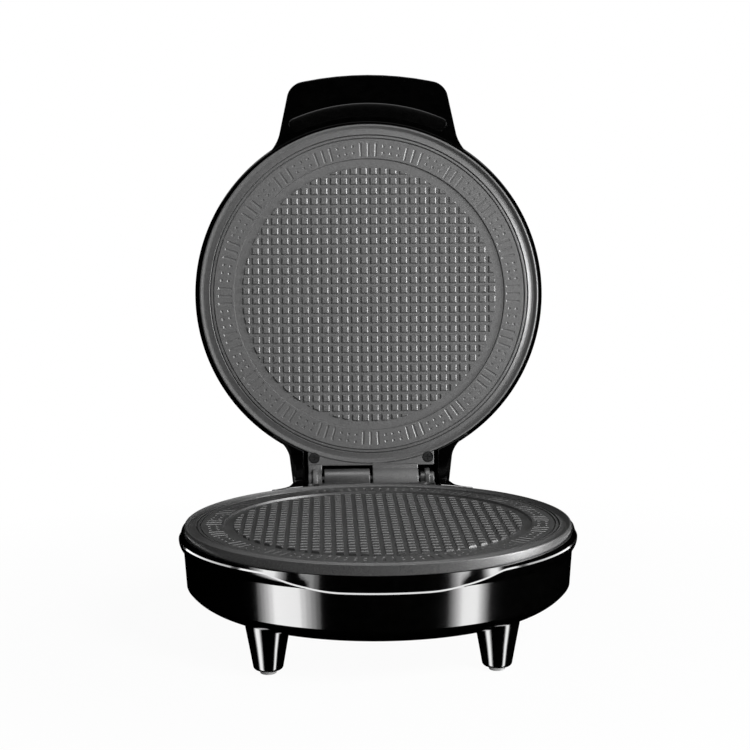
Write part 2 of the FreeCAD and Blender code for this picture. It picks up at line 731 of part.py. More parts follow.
def lid_housing():
    body = new_body("lid_housing")
    revolve(body, "lid_turn", lid_profile())
    add_tail(body, "Size.lid_tail_reach", "Size.lid_tail_depth")
    add_handle(body)
    cut_plate_room(body)
    extrude_outlines(body, "Pocket", "cover_room", "XY_Plane", [cover_outline("Size.cover_inset")],
                     "-Size.handle_face_depth", "Size.cover_setback + Size.cover_thickness")
    lamps = [(f"{side} * Size.lamp_x", "-Size.lamp_y", "Size.lamp_radius + Size.seat_clearance")
             for side in (-1, 1)]
    extrude_circles(body, "Pocket", "lamp_holes", "XY_Plane", lamps, "-Size.lid_depth",
                    "2 * Size.wall_thickness + Size.lid_depth - Size.lid_shoulder_depth", reverse=True)
    body.Placement = lid_placement()
    return body


def handle_cover():
    body = new_body("handle_cover")
    face = "-Size.handle_face_depth - Size.cover_setback"
    panel = cover_outline("Size.cover_inset + Size.seat_clearance")
    extrude_outlines(body, "Pad", "cover_panel", "XY_Plane", [panel], face, "Size.cover_thickness",
                     reverse=True)
    half = [
        ("Size.band_half_width", "-sqrt(Size.band_inner_radius ^ 2 - Size.band_half_width ^ 2)"),
        ("Size.band_half_width", "-sqrt(Size.band_outer_radius ^ 2 - Size.band_half_width ^ 2)",
         "Size.band_outer_radius", 1),
    ]
    band = mirrored(half, ("Size.band_inner_radius", -1))
    extrude_outlines(body, "Pad", "cover_band", "XY_Plane", [band], face, "Size.band_height")
    body.Placement = lid_placement()
    return body


# Feet, fasteners and the hinge pin.

def feet():
    """Four tapered feet, each screwed to its boss from inside the base."""
    top = "(Size.parting_height - Size.base_depth)"
    hole = "Size.screw_shank_radius + Size.seat_clearance"
    depth = f"{top} - Size.foot_screw_length"
    outline = [
        ("0", "Size.foot_pad_height"),
        ("Size.foot_end_radius - Size.foot_end_bevel", "Size.foot_pad_height"),
        ("Size.foot_end_radius", "Size.foot_pad_height + Size.foot_end_bevel"),
        ("Size.foot_top_radius", top),
        (hole, top),
        (hole, depth),
        ("0", depth),
    ]
    made = []
    for label, (x, y) in FOOT_PLACES.items():
        body = new_body(label)
        revolve(body, label + "_turn", outline)
        body.Placement = Placement(Vector(value(x), value(y), 0), Rotation())
        made.append(body)
    return made


def cylinder(name, radius, height, place):
    solid = doc.addObject("Part::Cylinder", name)
    solid.setExpression("Radius", radius)
    solid.setExpression("Height", height)
    solid.Placement = place
    return solid


def group(label, members):
    """Identical small pieces as one node of separate solids."""
    bundle = doc.addObject("Part::Compound", label)
    bundle.Links = members
    return bundle


def foot_pads():
    pads = []
    for label, (x, y) in FOOT_PLACES.items():
        place = Placement(Vector(value(x), value(y), 0), Rotation())
        pads.append(cylinder(label + "_pad", "Size.foot_pad_radius", "Size.foot_pad_height", place))
    return group("foot_pads", pads)


def screw(name, length, place):
    """A pan-head screw standing on the underside of its head, its shank downwards."""
    body = new_body(name)
    edge = "Size.screw_head_height / 3"
    revolve(body, name + "_turn", [
        ("0", f"-({length})"),
        ("Size.screw_shank_radius", f"-({length})"),
        ("Size.screw_shank_radius", "0"),
        ("Size.screw_head_radius", "0"),
        ("Size.screw_head_radius", f"Size.screw_head_height - {edge}"),
        (f"Size.screw_head_radius - {edge}", "Size.screw_head_height"),
        ("0", "Size.screw_head_height"),
    ])
    body.Placement = place
    return body


def bracket_screws(label, half_place):
    seat = -value("Size.screw_seat_depth")
    members = []
    for side in (-1, 1):
        spot = Vector(side * value("Size.screw_x"), value("Size.screw_y"), seat)
        members.append(screw(f"{label}_{side + 1}", "Size.screw_length",
                             half_place * Placement(spot, Rotation())))
    return group(label, members)


def foot_screws():
    seat = value("Size.parting_height - Size.base_depth + Size.foot_boss_height")
    length = "Size.foot_boss_height + Size.foot_screw_length - 1"
    members = []
    for label, (x, y) in FOOT_PLACES.items():
        spot = Placement(Vector(value(x), value(y), seat), Rotation())
        members.append(screw(label + "_screw", length, spot))
    return group("foot_screws", members)


def hinge_pin():
    place = Placement(Vector(-value("Size.lug_far"), value("Size.hinge_reach"), value("Size.parting_height")),
                      Rotation(Vector(0, 1, 0), 90))
    return cylinder("hinge_pin", "Size.pin_radius", "2 * Size.lug_far", place)


# What heats and controls the plates.

REFLECTOR_TOP = "(Size.plate_depth + 2 * Size.element_tube_radius + 2 * Size.element_gap)"


def element_start_angle():
    """The element's gap is centred on the hinge side."""
    return 90 + (360 - value("Size.element_angle")) / 2


def heating_element(label, half_place):
    """An open ring of tube under the plate, with a straight terminal at each end."""
    centre = Vector(0, 0, -value("Size.plate_depth + Size.element_tube_radius + Size.element_gap"))
    turn = Rotation(Vector(0, 0, 1), element_start_angle())
    ring = doc.addObject("Part::Torus", label + "_ring")
    ring.setExpression("Radius1", "Size.element_radius")
    ring.setExpression("Radius2", "Size.element_tube_radius")
    ring.setExpression("Angle3", "Size.element_angle")
    ring.Placement = Placement(centre, turn)
    members = [ring]
    for name, angle in (("start", 0), ("finish", value("Size.element_angle"))):
        end = Rotation(Vector(0, 0, 1), angle).multVec(Vector(value("Size.element_radius"), 0, 0))
        spot = centre + turn.multVec(end) - Vector(0, 0, value("Size.terminal_length"))
        members.append(cylinder(f"{label}_{name}", "Size.terminal_radius", "Size.terminal_length",
                                Placement(spot, Rotation())))
    element = doc.addObject("Part::MultiFuse", label)
    element.Shapes = members
    element.Placement = half_place
    return element


def reflector(label, half_place):
    """A shallow dish that throws the heat back to the plate, with holes for the terminals."""
    body = new_body(label)
    rim = "-Size.plate_depth - Size.element_gap"
    revolve(body, label + "_turn", [
        ("Size.reflector_window_radius", f"-{REFLECTOR_TOP} - Size.reflector_thickness"),
        ("Size.reflector_radius", f"-{REFLECTOR_TOP} - Size.reflector_thickness"),
        ("Size.reflector_radius", rim),
        ("Size.reflector_radius - Size.reflector_thickness", rim),
        ("Size.reflector_radius - Size.reflector_thickness", f"-{REFLECTOR_TOP}"),
        ("Size.reflector_window_radius", f"-{REFLECTOR_TOP}"),
    ])
    start = "(90 + (360 - Size.element_angle) / 2)"
    holes = []
    for angle in (start, f"({start} + Size.element_angle)"):
        holes.append((f"Size.element_radius * cos({angle})", f"Size.element_radius * sin({angle})",
                      "Size.terminal_radius + Size.seat_clearance"))
    extrude_circles(body, "Pocket", label + "_holes", "XY_Plane", holes, f"-{REFLECTOR_TOP}",
                    "2 * Size.reflector_thickness")
    body.Placement = half_place
    return body


def thermostat(half_place):
    foot = Vector(0, 0, -value("Size.plate_depth + Size.thermostat_height"))
    return cylinder("thermostat", "Size.thermostat_radius", "Size.thermostat_height",
                    half_place * Placement(foot, Rotation()))


def thermal_fuse(half_place):
    height = -value(f"{REFLECTOR_TOP} + Size.reflector_thickness + Size.fuse_radius + Size.element_gap")
    start = Vector(-value("Size.fuse_length") / 2, value("Size.fuse_y"), height)
    return cylinder("thermal_fuse", "Size.fuse_radius", "Size.fuse_length",
                    half_place * Placement(start, Rotation(Vector(0, 1, 0), 90)))


def box(label, width, length, height, place):
    solid = doc.addObject("Part::Box", label)
    solid.setExpression("Length", width)
    solid.setExpression("Width", length)
    solid.setExpression("Height", height)
    solid.Placement = place
    return solid


def terminal_block(half_place):
    corner = Vector(-value("Size.block_width") / 2, value("Size.block_y - Size.block_length / 2"),
                    -value("Size.base_depth - Size.wall_thickness"))
    return box("terminal_block", "Size.block_width", "Size.block_length", "Size.block_height",
               half_place * Placement(corner, Rotation()))


def cord_gland(half_place):
    """The bush in the rear wall that a supply cord would pass through."""
    body = new_body("cord_gland")
    revolve(body, "gland_turn", [
        ("Size.gland_bore_radius", "-Size.gland_length"),
        ("Size.gland_radius", "-Size.gland_length"),
        ("Size.gland_radius", "0"),
        ("Size.gland_flange_radius", "0"),
        ("Size.gland_flange_radius", "Size.gland_flange_height / 2"),
        ("Size.gland_flange_radius - Size.gland_flange_height / 2", "Size.gland_flange_height"),
        ("Size.gland_bore_radius", "Size.gland_flange_height"),
    ])
    spot = Vector(0, value("Size.base_tail_reach"), -value("Size.gland_depth"))
    body.Placement = half_place * Placement(spot, Rotation(Vector(1, 0, 0), -90))
    return body


def lamp_tip_depth():
    """How far below the parting plane the crown of the lid lies over the lamps, with their stand."""
    rise = value("Size.lid_depth - Size.lid_shoulder_depth")
    crown = (value("Size.lid_shoulder_radius") ** 2 + rise ** 2) / (2 * rise)
    reach = math.hypot(value("Size.lamp_x"), value("Size.lamp_y"))
    return value("Size.lid_depth") - (crown - math.sqrt(crown ** 2 - reach ** 2)) + value("Size.lamp_stand")


def lamp_lens(label, side, half_place):
    """A small domed lens that stands a little out of the lid's crown."""
    body = new_body(label)
    edge = "Size.lamp_stand"
    revolve(body, label + "_turn", [
        ("0", "0"),
        (f"Size.lamp_radius - {edge}", "0"),
        ("Size.lamp_radius", edge),
        ("Size.lamp_radius", "Size.lamp_length"),
        ("0", "Size.lamp_length"),
    ])
    spot = Vector(side * value("Size.lamp_x"), -value("Size.lamp_y"), -lamp_tip_depth())
    body.Placement = half_place * Placement(spot, Rotation())
    return body


def lamp_board(half_place):
    corner = Vector(-value("Size.board_width") / 2, -value("Size.lamp_y + Size.board_length / 2"),
                    value("Size.lamp_length") - lamp_tip_depth())
    return box("lamp_board", "Size.board_width", "Size.board_length", "Size.board_thickness",
               half_place * Placement(corner, Rotation()))


def all_parts():
    base = base_placement()
    lid = lid_placement()
    parts = waffle_plates()
    parts += [base_housing(), lid_housing(), handle_cover()]
    parts += feet()
    parts += [foot_pads(), foot_screws(), hinge_pin()]
    parts += [bracket_screws("base_hinge_screws", base), bracket_screws("lid_hinge_screws", lid)]
    for half, place in (("lower", base), ("upper", lid)):
        parts += [heating_element(f"{half}_heating_element", place), reflector(f"{half}_reflector", place)]
    parts += [thermostat(base), thermal_fuse(base), terminal_block(base), cord_gland(base)]
    parts += [lamp_lens("power_lamp_lens", -1, lid), lamp_lens("ready_lamp_lens", 1, lid), lamp_board(lid)]
    return parts


def export(parts):
    """Check every object and every sub-part's solids, then write one file for each sub-part."""
    for thing in doc.Objects:
        if "Invalid" in thing.State or "Error" in thing.State:
            raise RuntimeError(f"{thing.Name} failed: {thing.State}")
    for part in parts:
        if part.Shape.isNull() or not part.Shape.isValid() or not part.Shape.Solids:
            raise RuntimeError(f"{part.Label} has no valid solid")
    os.makedirs("parts", exist_ok=True)
    for part in parts:
        part.Shape.exportStep(f"parts/{part.Label}.step")
        print(f"{part.Label}: {len(part.Shape.Solids)} solid(s), {part.Shape.Volume / 1000:.2f} cm3")


sub_parts = all_parts()
doc.recompute()
export(sub_parts)
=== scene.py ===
# %% [markdown]
# A round iron for thin waffles, open on its hinge
#
# The frame that is loaded here holds every solid of the object in its real place, in metres. This
# lesson dresses those solids: gloss black mouldings get true round lips and soft edges, the cast
# plates get their pads, engraved marks and rim, and each finish gets its own nodes. Every new piece
# is drawn to the sizes of the solid that it stands for, so nothing has to be fitted afterwards.

# %% Load the frame
import json
import math

import bmesh
import bpy
from mathutils import Matrix, Vector

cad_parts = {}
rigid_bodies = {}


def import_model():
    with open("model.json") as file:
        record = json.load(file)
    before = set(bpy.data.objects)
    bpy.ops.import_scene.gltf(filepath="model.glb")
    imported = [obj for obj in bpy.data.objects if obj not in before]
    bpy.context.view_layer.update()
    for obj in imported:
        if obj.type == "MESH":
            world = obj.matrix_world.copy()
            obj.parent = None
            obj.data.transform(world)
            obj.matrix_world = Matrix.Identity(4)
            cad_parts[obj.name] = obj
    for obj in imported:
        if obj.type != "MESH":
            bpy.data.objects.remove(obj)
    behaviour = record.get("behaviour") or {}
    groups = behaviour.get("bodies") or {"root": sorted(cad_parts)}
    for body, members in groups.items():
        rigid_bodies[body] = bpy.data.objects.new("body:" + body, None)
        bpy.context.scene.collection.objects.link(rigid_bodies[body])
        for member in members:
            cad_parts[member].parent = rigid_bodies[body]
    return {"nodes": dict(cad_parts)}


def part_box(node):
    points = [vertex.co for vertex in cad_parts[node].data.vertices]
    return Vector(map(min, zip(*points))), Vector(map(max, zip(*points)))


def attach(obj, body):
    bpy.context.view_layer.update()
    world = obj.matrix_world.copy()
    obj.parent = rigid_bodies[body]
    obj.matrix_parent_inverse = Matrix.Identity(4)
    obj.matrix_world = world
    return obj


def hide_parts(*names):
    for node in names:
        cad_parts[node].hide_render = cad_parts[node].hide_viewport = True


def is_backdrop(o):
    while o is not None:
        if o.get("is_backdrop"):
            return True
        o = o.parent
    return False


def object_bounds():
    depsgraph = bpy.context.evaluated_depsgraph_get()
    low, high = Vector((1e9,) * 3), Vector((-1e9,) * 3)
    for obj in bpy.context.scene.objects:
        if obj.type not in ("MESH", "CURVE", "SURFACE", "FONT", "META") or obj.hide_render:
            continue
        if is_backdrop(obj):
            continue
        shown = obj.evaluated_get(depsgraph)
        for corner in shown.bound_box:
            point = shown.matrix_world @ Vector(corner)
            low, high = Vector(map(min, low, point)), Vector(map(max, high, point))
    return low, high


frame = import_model()
solid_box = [list(corner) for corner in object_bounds()]

# %% [markdown]
# The two halves are equal in plan, so both are drawn in one "half frame": the parting plane of the
# closed iron is z = 0, the half lies below it, and its front is towards -Y. The base is that frame
# lifted to the parting height. The lid is that frame turned over and then swung open about the
# hinge. Drawing both the same way means that a shape is worked out once and used twice.

# %% The two half frames
MM = 0.001
PARTING_HEIGHT = 62.4 * MM
HINGE_REACH = 108.2 * MM
OPEN_ANGLE = math.radians(93.1)

hinge = Vector((0, HINGE_REACH, PARTING_HEIGHT))
lift = Matrix.Translation((0, 0, PARTING_HEIGHT))
swing = Matrix.Translation(hinge) @ Matrix.Rotation(-OPEN_ANGLE, 4, "X") @ Matrix.Translation(-hinge)
PLACES = {"base": lift, "lid": swing @ lift @ Matrix.Rotation(math.pi, 4, "Y")}
print("hinge at", tuple(round(number, 4) for number in hinge))

# %% [markdown]
# A finish on a real product is never one flat colour. Moulded plastic has a faint ripple, a cast
# plate has specks and mottling, and rubber is dusty. Noise on Object coordinates gives all of
# these, since the coordinates are the same in every piece and have no seams. One helper lays two
# noises: a fine one for specks and bump, and a broad one for slow changes of gloss.

# %% A finish from two noises


def finish(name, dark, light, grain, gloss, ripple, **sockets):
    """A shader whose colour, roughness and bump vary with a fine and a broad noise."""
    material = bpy.data.materials.new(name)
    material.use_nodes = True
    nodes, links = material.node_tree.nodes, material.node_tree.links
    shader = nodes["Principled BSDF"]
    for socket, number in sockets.items():
        shader.inputs[socket.replace("_", " ")].default_value = number
    place = nodes.new("ShaderNodeTexCoord")
    fine = nodes.new("ShaderNodeTexNoise")
    fine.inputs["Scale"].default_value = grain
    fine.inputs["Detail"].default_value = 3
    broad = nodes.new("ShaderNodeTexNoise")
    broad.inputs["Scale"].default_value = grain / 30
    broad.inputs["Detail"].default_value = 4
    for noise in (fine, broad):
        links.new(place.outputs["Object"], noise.inputs["Vector"])
    colours = nodes.new("ShaderNodeValToRGB")
    colours.color_ramp.elements[0].position = 0.35
    colours.color_ramp.elements[0].color = (*dark, 1)
    colours.color_ramp.elements[1].position = 0.7
    colours.color_ramp.elements[1].color = (*light, 1)
    links.new(fine.outputs["Fac"], colours.inputs["Fac"])
    links.new(colours.outputs["Color"], shader.inputs["Base Color"])
    shine = nodes.new("ShaderNodeMapRange")
    shine.inputs["From Min"].default_value = 0.3
    shine.inputs["From Max"].default_value = 0.7
    shine.inputs["To Min"].default_value = gloss[0]
    shine.inputs["To Max"].default_value = gloss[1]
    links.new(broad.outputs["Fac"], shine.inputs["Value"])
    links.new(shine.outputs["Result"], shader.inputs["Roughness"])
    bump = nodes.new("ShaderNodeBump")
    bump.inputs["Strength"].default_value = 0.5
    bump.inputs["Distance"].default_value = ripple
    links.new(fine.outputs["Fac"], bump.inputs["Height"])
    links.new(bump.outputs["Normal"], shader.inputs["Normal"])
    return material


def grey(level):
    return (level, level, level)


# %% [markdown]
# The mouldings are black plastic with a polished skin: almost no colour of its own, and a sharp
# reflection that is weak where it is seen straight on and strong at a glance.
# The plates carry a dark non-stick coat: a sprayed film with fine pale specks and a silky sheen.

# %% Finishes of the parts that show
GLOSS_BLACK = finish("gloss_black_moulding", grey(0.0004), grey(0.0009), 260, (0.07, 0.12), 0.000008,
                     Specular_IOR_Level=0.45)
COVER_BLACK = finish("satin_black_cover", grey(0.0008), grey(0.0016), 400, (0.14, 0.2), 0.00001,
                     Specular_IOR_Level=0.45)
PLATE_COAT = finish("speckled_plate_coat", grey(0.065), grey(0.17), 2600, (0.36, 0.46), 0.00007,
                    Specular_IOR_Level=0.4)
SCREW_DARK = finish("blackened_screw_steel", grey(0.012), grey(0.03), 1500, (0.25, 0.35), 0.00001,
                    Specular_IOR_Level=0.5)
PIN_STEEL = finish("turned_pin_steel", grey(0.05), grey(0.09), 1200, (0.3, 0.4), 0.00001, Metallic=1.0)
PAD_RUBBER = finish("pale_pad_rubber", grey(0.55), grey(0.7), 1800, (0.6, 0.8), 0.00003)
GLAND_RUBBER = finish("black_gland_rubber", grey(0.008), grey(0.016), 1800, (0.5, 0.65), 0.00003,
                      Specular_IOR_Level=0.3)
LENS_RED = finish("red_lamp_lens", (0.35, 0.008, 0.006), (0.5, 0.02, 0.015), 700, (0.08, 0.14), 0.000008,
                  Transmission_Weight=0.35)
LENS_GREEN = finish("green_lamp_lens", (0.01, 0.24, 0.03), (0.03, 0.36, 0.06), 700, (0.08, 0.14), 0.000008,
                    Transmission_Weight=0.35)
print("finishes so far:", len(bpy.data.materials))

# %% [markdown]
# The parts inside keep the shapes of their solids, because the mouldings hide them. They still get
# real finishes, so that an opened copy of the object looks right: oxidised steel for the heating
# tubes, bright sheet for the dishes behind them, a pale ceramic block, and a green circuit board.

# %% Finishes of the parts inside
INNER_FINISHES = {
    "lower_heating_element": finish("oxidised_tube", (0.16, 0.13, 0.11), (0.26, 0.22, 0.19), 900,
                                    (0.4, 0.6), 0.00003, Metallic=0.9),
    "lower_reflector": finish("bright_sheet", grey(0.62), grey(0.74), 600, (0.25, 0.4), 0.00001,
                              Metallic=1.0),
    "thermostat": finish("brown_control_plastic", (0.06, 0.035, 0.02), (0.1, 0.06, 0.035), 1500,
                         (0.4, 0.55), 0.00002),
    "thermal_fuse": finish("tinned_fuse_case", grey(0.5), grey(0.62), 1500, (0.3, 0.4), 0.00001,
                           Metallic=1.0),
    "terminal_block": finish("pale_terminal_block", (0.62, 0.6, 0.54), (0.74, 0.72, 0.66), 1200,
                             (0.5, 0.65), 0.00002),
    "lamp_board": finish("green_circuit_board", (0.015, 0.09, 0.03), (0.03, 0.15, 0.05), 1500,
                         (0.35, 0.5), 0.00001),
    "hinge_pin": PIN_STEEL,
    "foot_screws": PIN_STEEL,
}
INNER_FINISHES["upper_heating_element"] = INNER_FINISHES["lower_heating_element"]
INNER_FINISHES["upper_reflector"] = INNER_FINISHES["lower_reflector"]
for node, material in INNER_FINISHES.items():
    for place in frame["nodes"][node].material_slots:
        place.material = material
print("solids that keep their own shape:", len(INNER_FINISHES))

# %% [markdown]
# Most of this object was turned: the plates on a lathe, the mouldings from turned cores. A turned
# piece is drawn as one profile of radius and height and spun about the Z axis. Round stretches of
# the profile are arcs, and an arc is itself a spin of one vertex, about a centre in the drawing.

# %% Drawing and turning a profile


def line(mesh, *corners):
    """Straight edges between corners of (radius, height) in millimetres."""
    verts = [mesh.verts.new((radius * MM, 0, height * MM)) for radius, height in corners]
    for start, end in zip(verts, verts[1:]):
        mesh.edges.new((start, end))


def arc(mesh, start, end, radius, steps, side=1):
    """An arc between two corners, its centre on the left of the way there, or on the right at -1."""
    first, last = Vector(start), Vector(end)
    chord = last - first
    rise = math.sqrt(radius ** 2 - (chord.length / 2) ** 2)
    left = Vector((-chord.y, chord.x)).normalized()
    centre = (first + last) / 2 + left * (side * rise)
    vert = mesh.verts.new((first.x * MM, 0, first.y * MM))
    bmesh.ops.spin(mesh, geom=[vert], cent=(centre.x * MM, 0, centre.y * MM), axis=(0, -side, 0),
                   angle=2 * math.asin(chord.length / 2 / radius), steps=steps)


def turn(mesh, steps):
    """Join the profile's stretches and spin it all the way round."""
    bmesh.ops.remove_doubles(mesh, verts=mesh.verts, dist=1e-6)
    bmesh.ops.spin(mesh, geom=mesh.verts[:] + mesh.edges[:], cent=(0, 0, 0), axis=(0, 0, 1),
                   angle=2 * math.pi, steps=steps, use_merge=True)
    bmesh.ops.remove_doubles(mesh, verts=mesh.verts, dist=1e-6)
    bmesh.ops.recalc_face_normals(mesh, faces=mesh.faces)
    return mesh


# %% [markdown]
# A finished bmesh becomes an object in one place: its vertices are moved to where the piece sits,
# its faces are shaded smooth except over real edges, it is parented to the body that carries it, and
# the solids that it stands for are hidden. The object itself stays at the origin, as the solids' objects
# do.

# %% Handing a piece to the frame


def hand_over(name, mesh, body, material, nodes, place=Matrix(), sharp_angle=38):
    """Make an object of a bmesh that rides on a body and stands for its solids."""
    bmesh.ops.transform(mesh, matrix=place, verts=mesh.verts)
    data = bpy.data.meshes.new(name)
    mesh.to_mesh(data)
    mesh.free()
    data.shade_smooth()
    data.set_sharp_from_angle(angle=math.radians(sharp_angle))
    data.materials.append(material)
    piece = bpy.data.objects.new(name, data)
    bpy.context.scene.collection.objects.link(piece)
    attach(piece, body)
    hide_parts(*nodes)
    print(f"{name}: {len(data.polygons)} faces on {body}")
    return piece


def add_to(mesh, other):
    """Append another bmesh, which is used up."""
    data = bpy.data.meshes.new("spare")
    other.to_mesh(data)
    other.free()
    mesh.from_mesh(data)
    bpy.data.meshes.remove(data)


def carve(mesh, cutter):
    """Cut one bmesh out of another with an exact boolean, and return what is left."""
    pair = []
    for part in (mesh, cutter):
        data = bpy.data.meshes.new("spare")
        part.to_mesh(data)
        part.free()
        pair.append(bpy.data.objects.new("spare", data))
        bpy.context.scene.collection.objects.link(pair[-1])
    cut = pair[0].modifiers.new("cut", "BOOLEAN")
    cut.operation = "DIFFERENCE"
    cut.solver = "EXACT"
    cut.object = pair[1]
    carved = bmesh.new()
    carved.from_object(pair[0], bpy.context.evaluated_depsgraph_get())
    for part in pair:
        data = part.data
        bpy.data.objects.remove(part)
        bpy.data.meshes.remove(data)
    return carved


# %% [markdown]
# Blocks such as the tails and the handle start as one flat outline. Its corners are rounded by a
# bevel of vertices, the face is extruded, and a bevel of edges takes the sharpness off, as the
# draft and radii of a mould would.

# %% Outlines and soft edges


def outline_face(mesh, corners):
    """One face from corners of (x, y) in millimetres, at height zero."""
    return mesh.faces.new([mesh.verts.new((x * MM, y * MM, 0)) for x, y in corners])


def swept_corners(centre_y, radius, start, end, steps):
    """Corners along an arc about (0, centre_y), between two directions in degrees from the X axis."""
    way = [math.radians(start + (end - start) * step / steps) for step in range(steps + 1)]
    return [(radius * math.cos(angle), centre_y + radius * math.sin(angle)) for angle in way]


def mirrored(corners):
    """The same corners on the other side of the middle, in the order that closes an outline."""
    return [(-x, y) for x, y in reversed(corners)]


def round_corners(mesh, corners, setback, segments=8):
    """Round the vertices nearest to the given corners of a flat outline."""
    targets = [Vector((x * MM, y * MM, 0)) for x, y in corners]
    chosen = [min(mesh.verts, key=lambda vert, spot=spot: (vert.co - spot).length) for spot in targets]
    bmesh.ops.bevel(mesh, geom=chosen, offset=setback * MM, offset_type="OFFSET", affect="VERTICES",
                    segments=segments, profile=0.5, material=-1, clamp_overlap=False)


def raise_faces(mesh, faces, height, keep=False):
    """Extrude faces along Z and return the faces at the new end."""
    made = bmesh.ops.extrude_face_region(mesh, geom=faces, use_keep_orig=keep)["geom"]
    verts = [part for part in made if isinstance(part, bmesh.types.BMVert)]
    bmesh.ops.translate(mesh, vec=(0, 0, height * MM), verts=verts)
    return [part for part in made if isinstance(part, bmesh.types.BMFace)]


def soften(mesh, edges, width, segments=3):
    """Round edges over a width in millimetres."""
    bmesh.ops.bevel(mesh, geom=edges, offset=width * MM, offset_type="OFFSET", affect="EDGES",
                    segments=segments, profile=0.5, material=-1, clamp_overlap=True)


def hard_edges(mesh, angle=35):
    """The edges between two faces that meet at more than an angle in degrees."""
    bmesh.ops.recalc_face_normals(mesh, faces=mesh.faces)
    return [edge for edge in mesh.edges
            if len(edge.link_faces) == 2 and edge.calc_face_angle() > math.radians(angle)]


def block(low, high, edge):
    """A softened block between two corners in millimetres."""
    mesh = bmesh.new()
    bmesh.ops.create_cube(mesh, size=1)
    size = Vector(high) - Vector(low)
    bmesh.ops.scale(mesh, vec=size * MM, verts=mesh.verts)
    bmesh.ops.translate(mesh, vec=(Vector(low) + size / 2) * MM, verts=mesh.verts)
    soften(mesh, mesh.edges[:], edge)
    return mesh


def rod(start, end, radius, edge):
    """A round bar along X between two places, on the hinge axis of the half frame."""
    mesh = bmesh.new()
    bmesh.ops.create_cone(mesh, cap_ends=True, segments=72, radius1=radius * MM, radius2=radius * MM,
                          depth=(end - start) * MM)
    soften(mesh, hard_edges(mesh, 60), edge)
    spot = Matrix.Translation(((start + end) / 2 * MM, HINGE_REACH, 0))
    bmesh.ops.transform(mesh, matrix=spot @ Matrix.Rotation(math.pi / 2, 4, "Y"), verts=mesh.verts)
    return mesh


# %% [markdown]
# Base and lid share the upper part of their profile: a wall that leans out a little, a flare that
# ends in a narrow polished ledge, a set-back upper lip, and inside it a sloped shoulder and the flat
# seat of the plate. The ledge is a flat facet that faces up and out. Black gloss shows only what it
# mirrors, and a flat facet mirrors one thing over its whole width, so it reads as a fine bright line.

# %% The lip that both housings share
LIP_INNER_RADIUS = 99.3
WALL_ROW = (98.8, -22.0)
WALL_TOP = (99.42, -12.6)
LEDGE_OUTER = (101.88, -7.2)
LEDGE_INNER = (101.35, -6.55)
UPPER_LIP_ROWS = ((101.1, -5.8), (100.75, -4.6))
LIP_TOP = (100.35, -3.3)
LIP_BACK = ((99.6, -3.32), (LIP_INNER_RADIUS, -3.6), (LIP_INNER_RADIUS, -14.0))
PLATE_SEAT = ((91.5, -8.5), (91.5, -5.8), (87.0, -5.8), (87.0, -14.0))
SEAT_FOOT = (96.45, -20.0)

flare_width = LEDGE_OUTER[0] - WALL_TOP[0]
flare_height = LEDGE_OUTER[1] - WALL_TOP[1]
FLARE_BEND = (flare_width ** 2 + flare_height ** 2) / (2 * flare_width)
print("bend of the flare in mm:", round(FLARE_BEND, 2))


def lip_and_seat(mesh):
    """The stretch of profile from the top of the wall to the foot of the plate's seat."""
    arc(mesh, WALL_TOP, LEDGE_OUTER, FLARE_BEND, 14)
    line(mesh, LEDGE_OUTER, LEDGE_INNER, *UPPER_LIP_ROWS, LIP_TOP)
    line(mesh, LIP_TOP, *LIP_BACK, *PLATE_SEAT, SEAT_FOOT)


# %% [markdown]
# The front of the base's lip dips into a finger scoop, so that a thumb can lift the lid: the ledge
# falls along a wide, shallow curve, and the lip's top sinks below the plate. Cutting with a boolean
# would leave long thin faces that shade badly, so the profile itself is redrawn at every step of
# the front half. The wall and the flare keep their surface and only end lower, and the upper lip is
# stretched between the new ledge and the new top.

# %% The finger scoop
SCOOP_HALF_FLAT = 20.0
SCOOP_RUN = 31.0
SCOOP_DEPTH = 14.2
SCOOP_TOP_DEPTH = 3.0
LEDGE_BLEND = 0.4
LEAST_FLARE = 0.3
FRONT_TOP = -5.95
UPPER_LIP_LEAN = {"front": 0.12, "side": 0.3}
UPPER_LIP_LEAST_RADIUS = 99.0
# Angles away from the front, in degrees: the lip falls before the first, over the second, and its
# lean starts to change at the third, over the fourth.
FALL_ANGLE, FALL_SPAN = 75, 52
LEAN_ANGLE, LEAN_SPAN = 35, 30
ON_LINE = 0.01
INNER_MARGIN = 0.05


def scoop_height(x):
    """Height of the scoop's edge: flat, then two equal arcs up to the lip."""
    half_rise = (SCOOP_DEPTH - SCOOP_TOP_DEPTH) / 2
    bend = (SCOOP_RUN ** 2 + half_rise ** 2) / (2 * half_rise)
    along = abs(x) - SCOOP_HALF_FLAT
    if along <= 0:
        return -SCOOP_DEPTH
    if along <= SCOOP_RUN:
        return -SCOOP_DEPTH + bend - math.sqrt(bend ** 2 - along ** 2)
    left = max(2 * SCOOP_RUN - along, 0)
    return -SCOOP_TOP_DEPTH - bend + math.sqrt(bend ** 2 - left ** 2)


def ledge_height(x):
    """The lower of the scoop's edge and the plain ledge, with a soft change between them."""
    scoop, plain = scoop_height(x), LEDGE_OUTER[1]
    return (scoop + plain - math.sqrt((scoop - plain) ** 2 + LEDGE_BLEND)) / 2


def outer_radius(height):
    """Radius of the wall or the flare at a height."""
    if height < WALL_TOP[1]:
        below = height - WALL_TOP[1]
        return WALL_TOP[0] + below * (WALL_TOP[0] - WALL_ROW[0]) / (WALL_TOP[1] - WALL_ROW[1])
    rise = LEDGE_OUTER[1] - min(height, LEDGE_OUTER[1])
    return LEDGE_OUTER[0] - FLARE_BEND + math.sqrt(FLARE_BEND ** 2 - rise ** 2)


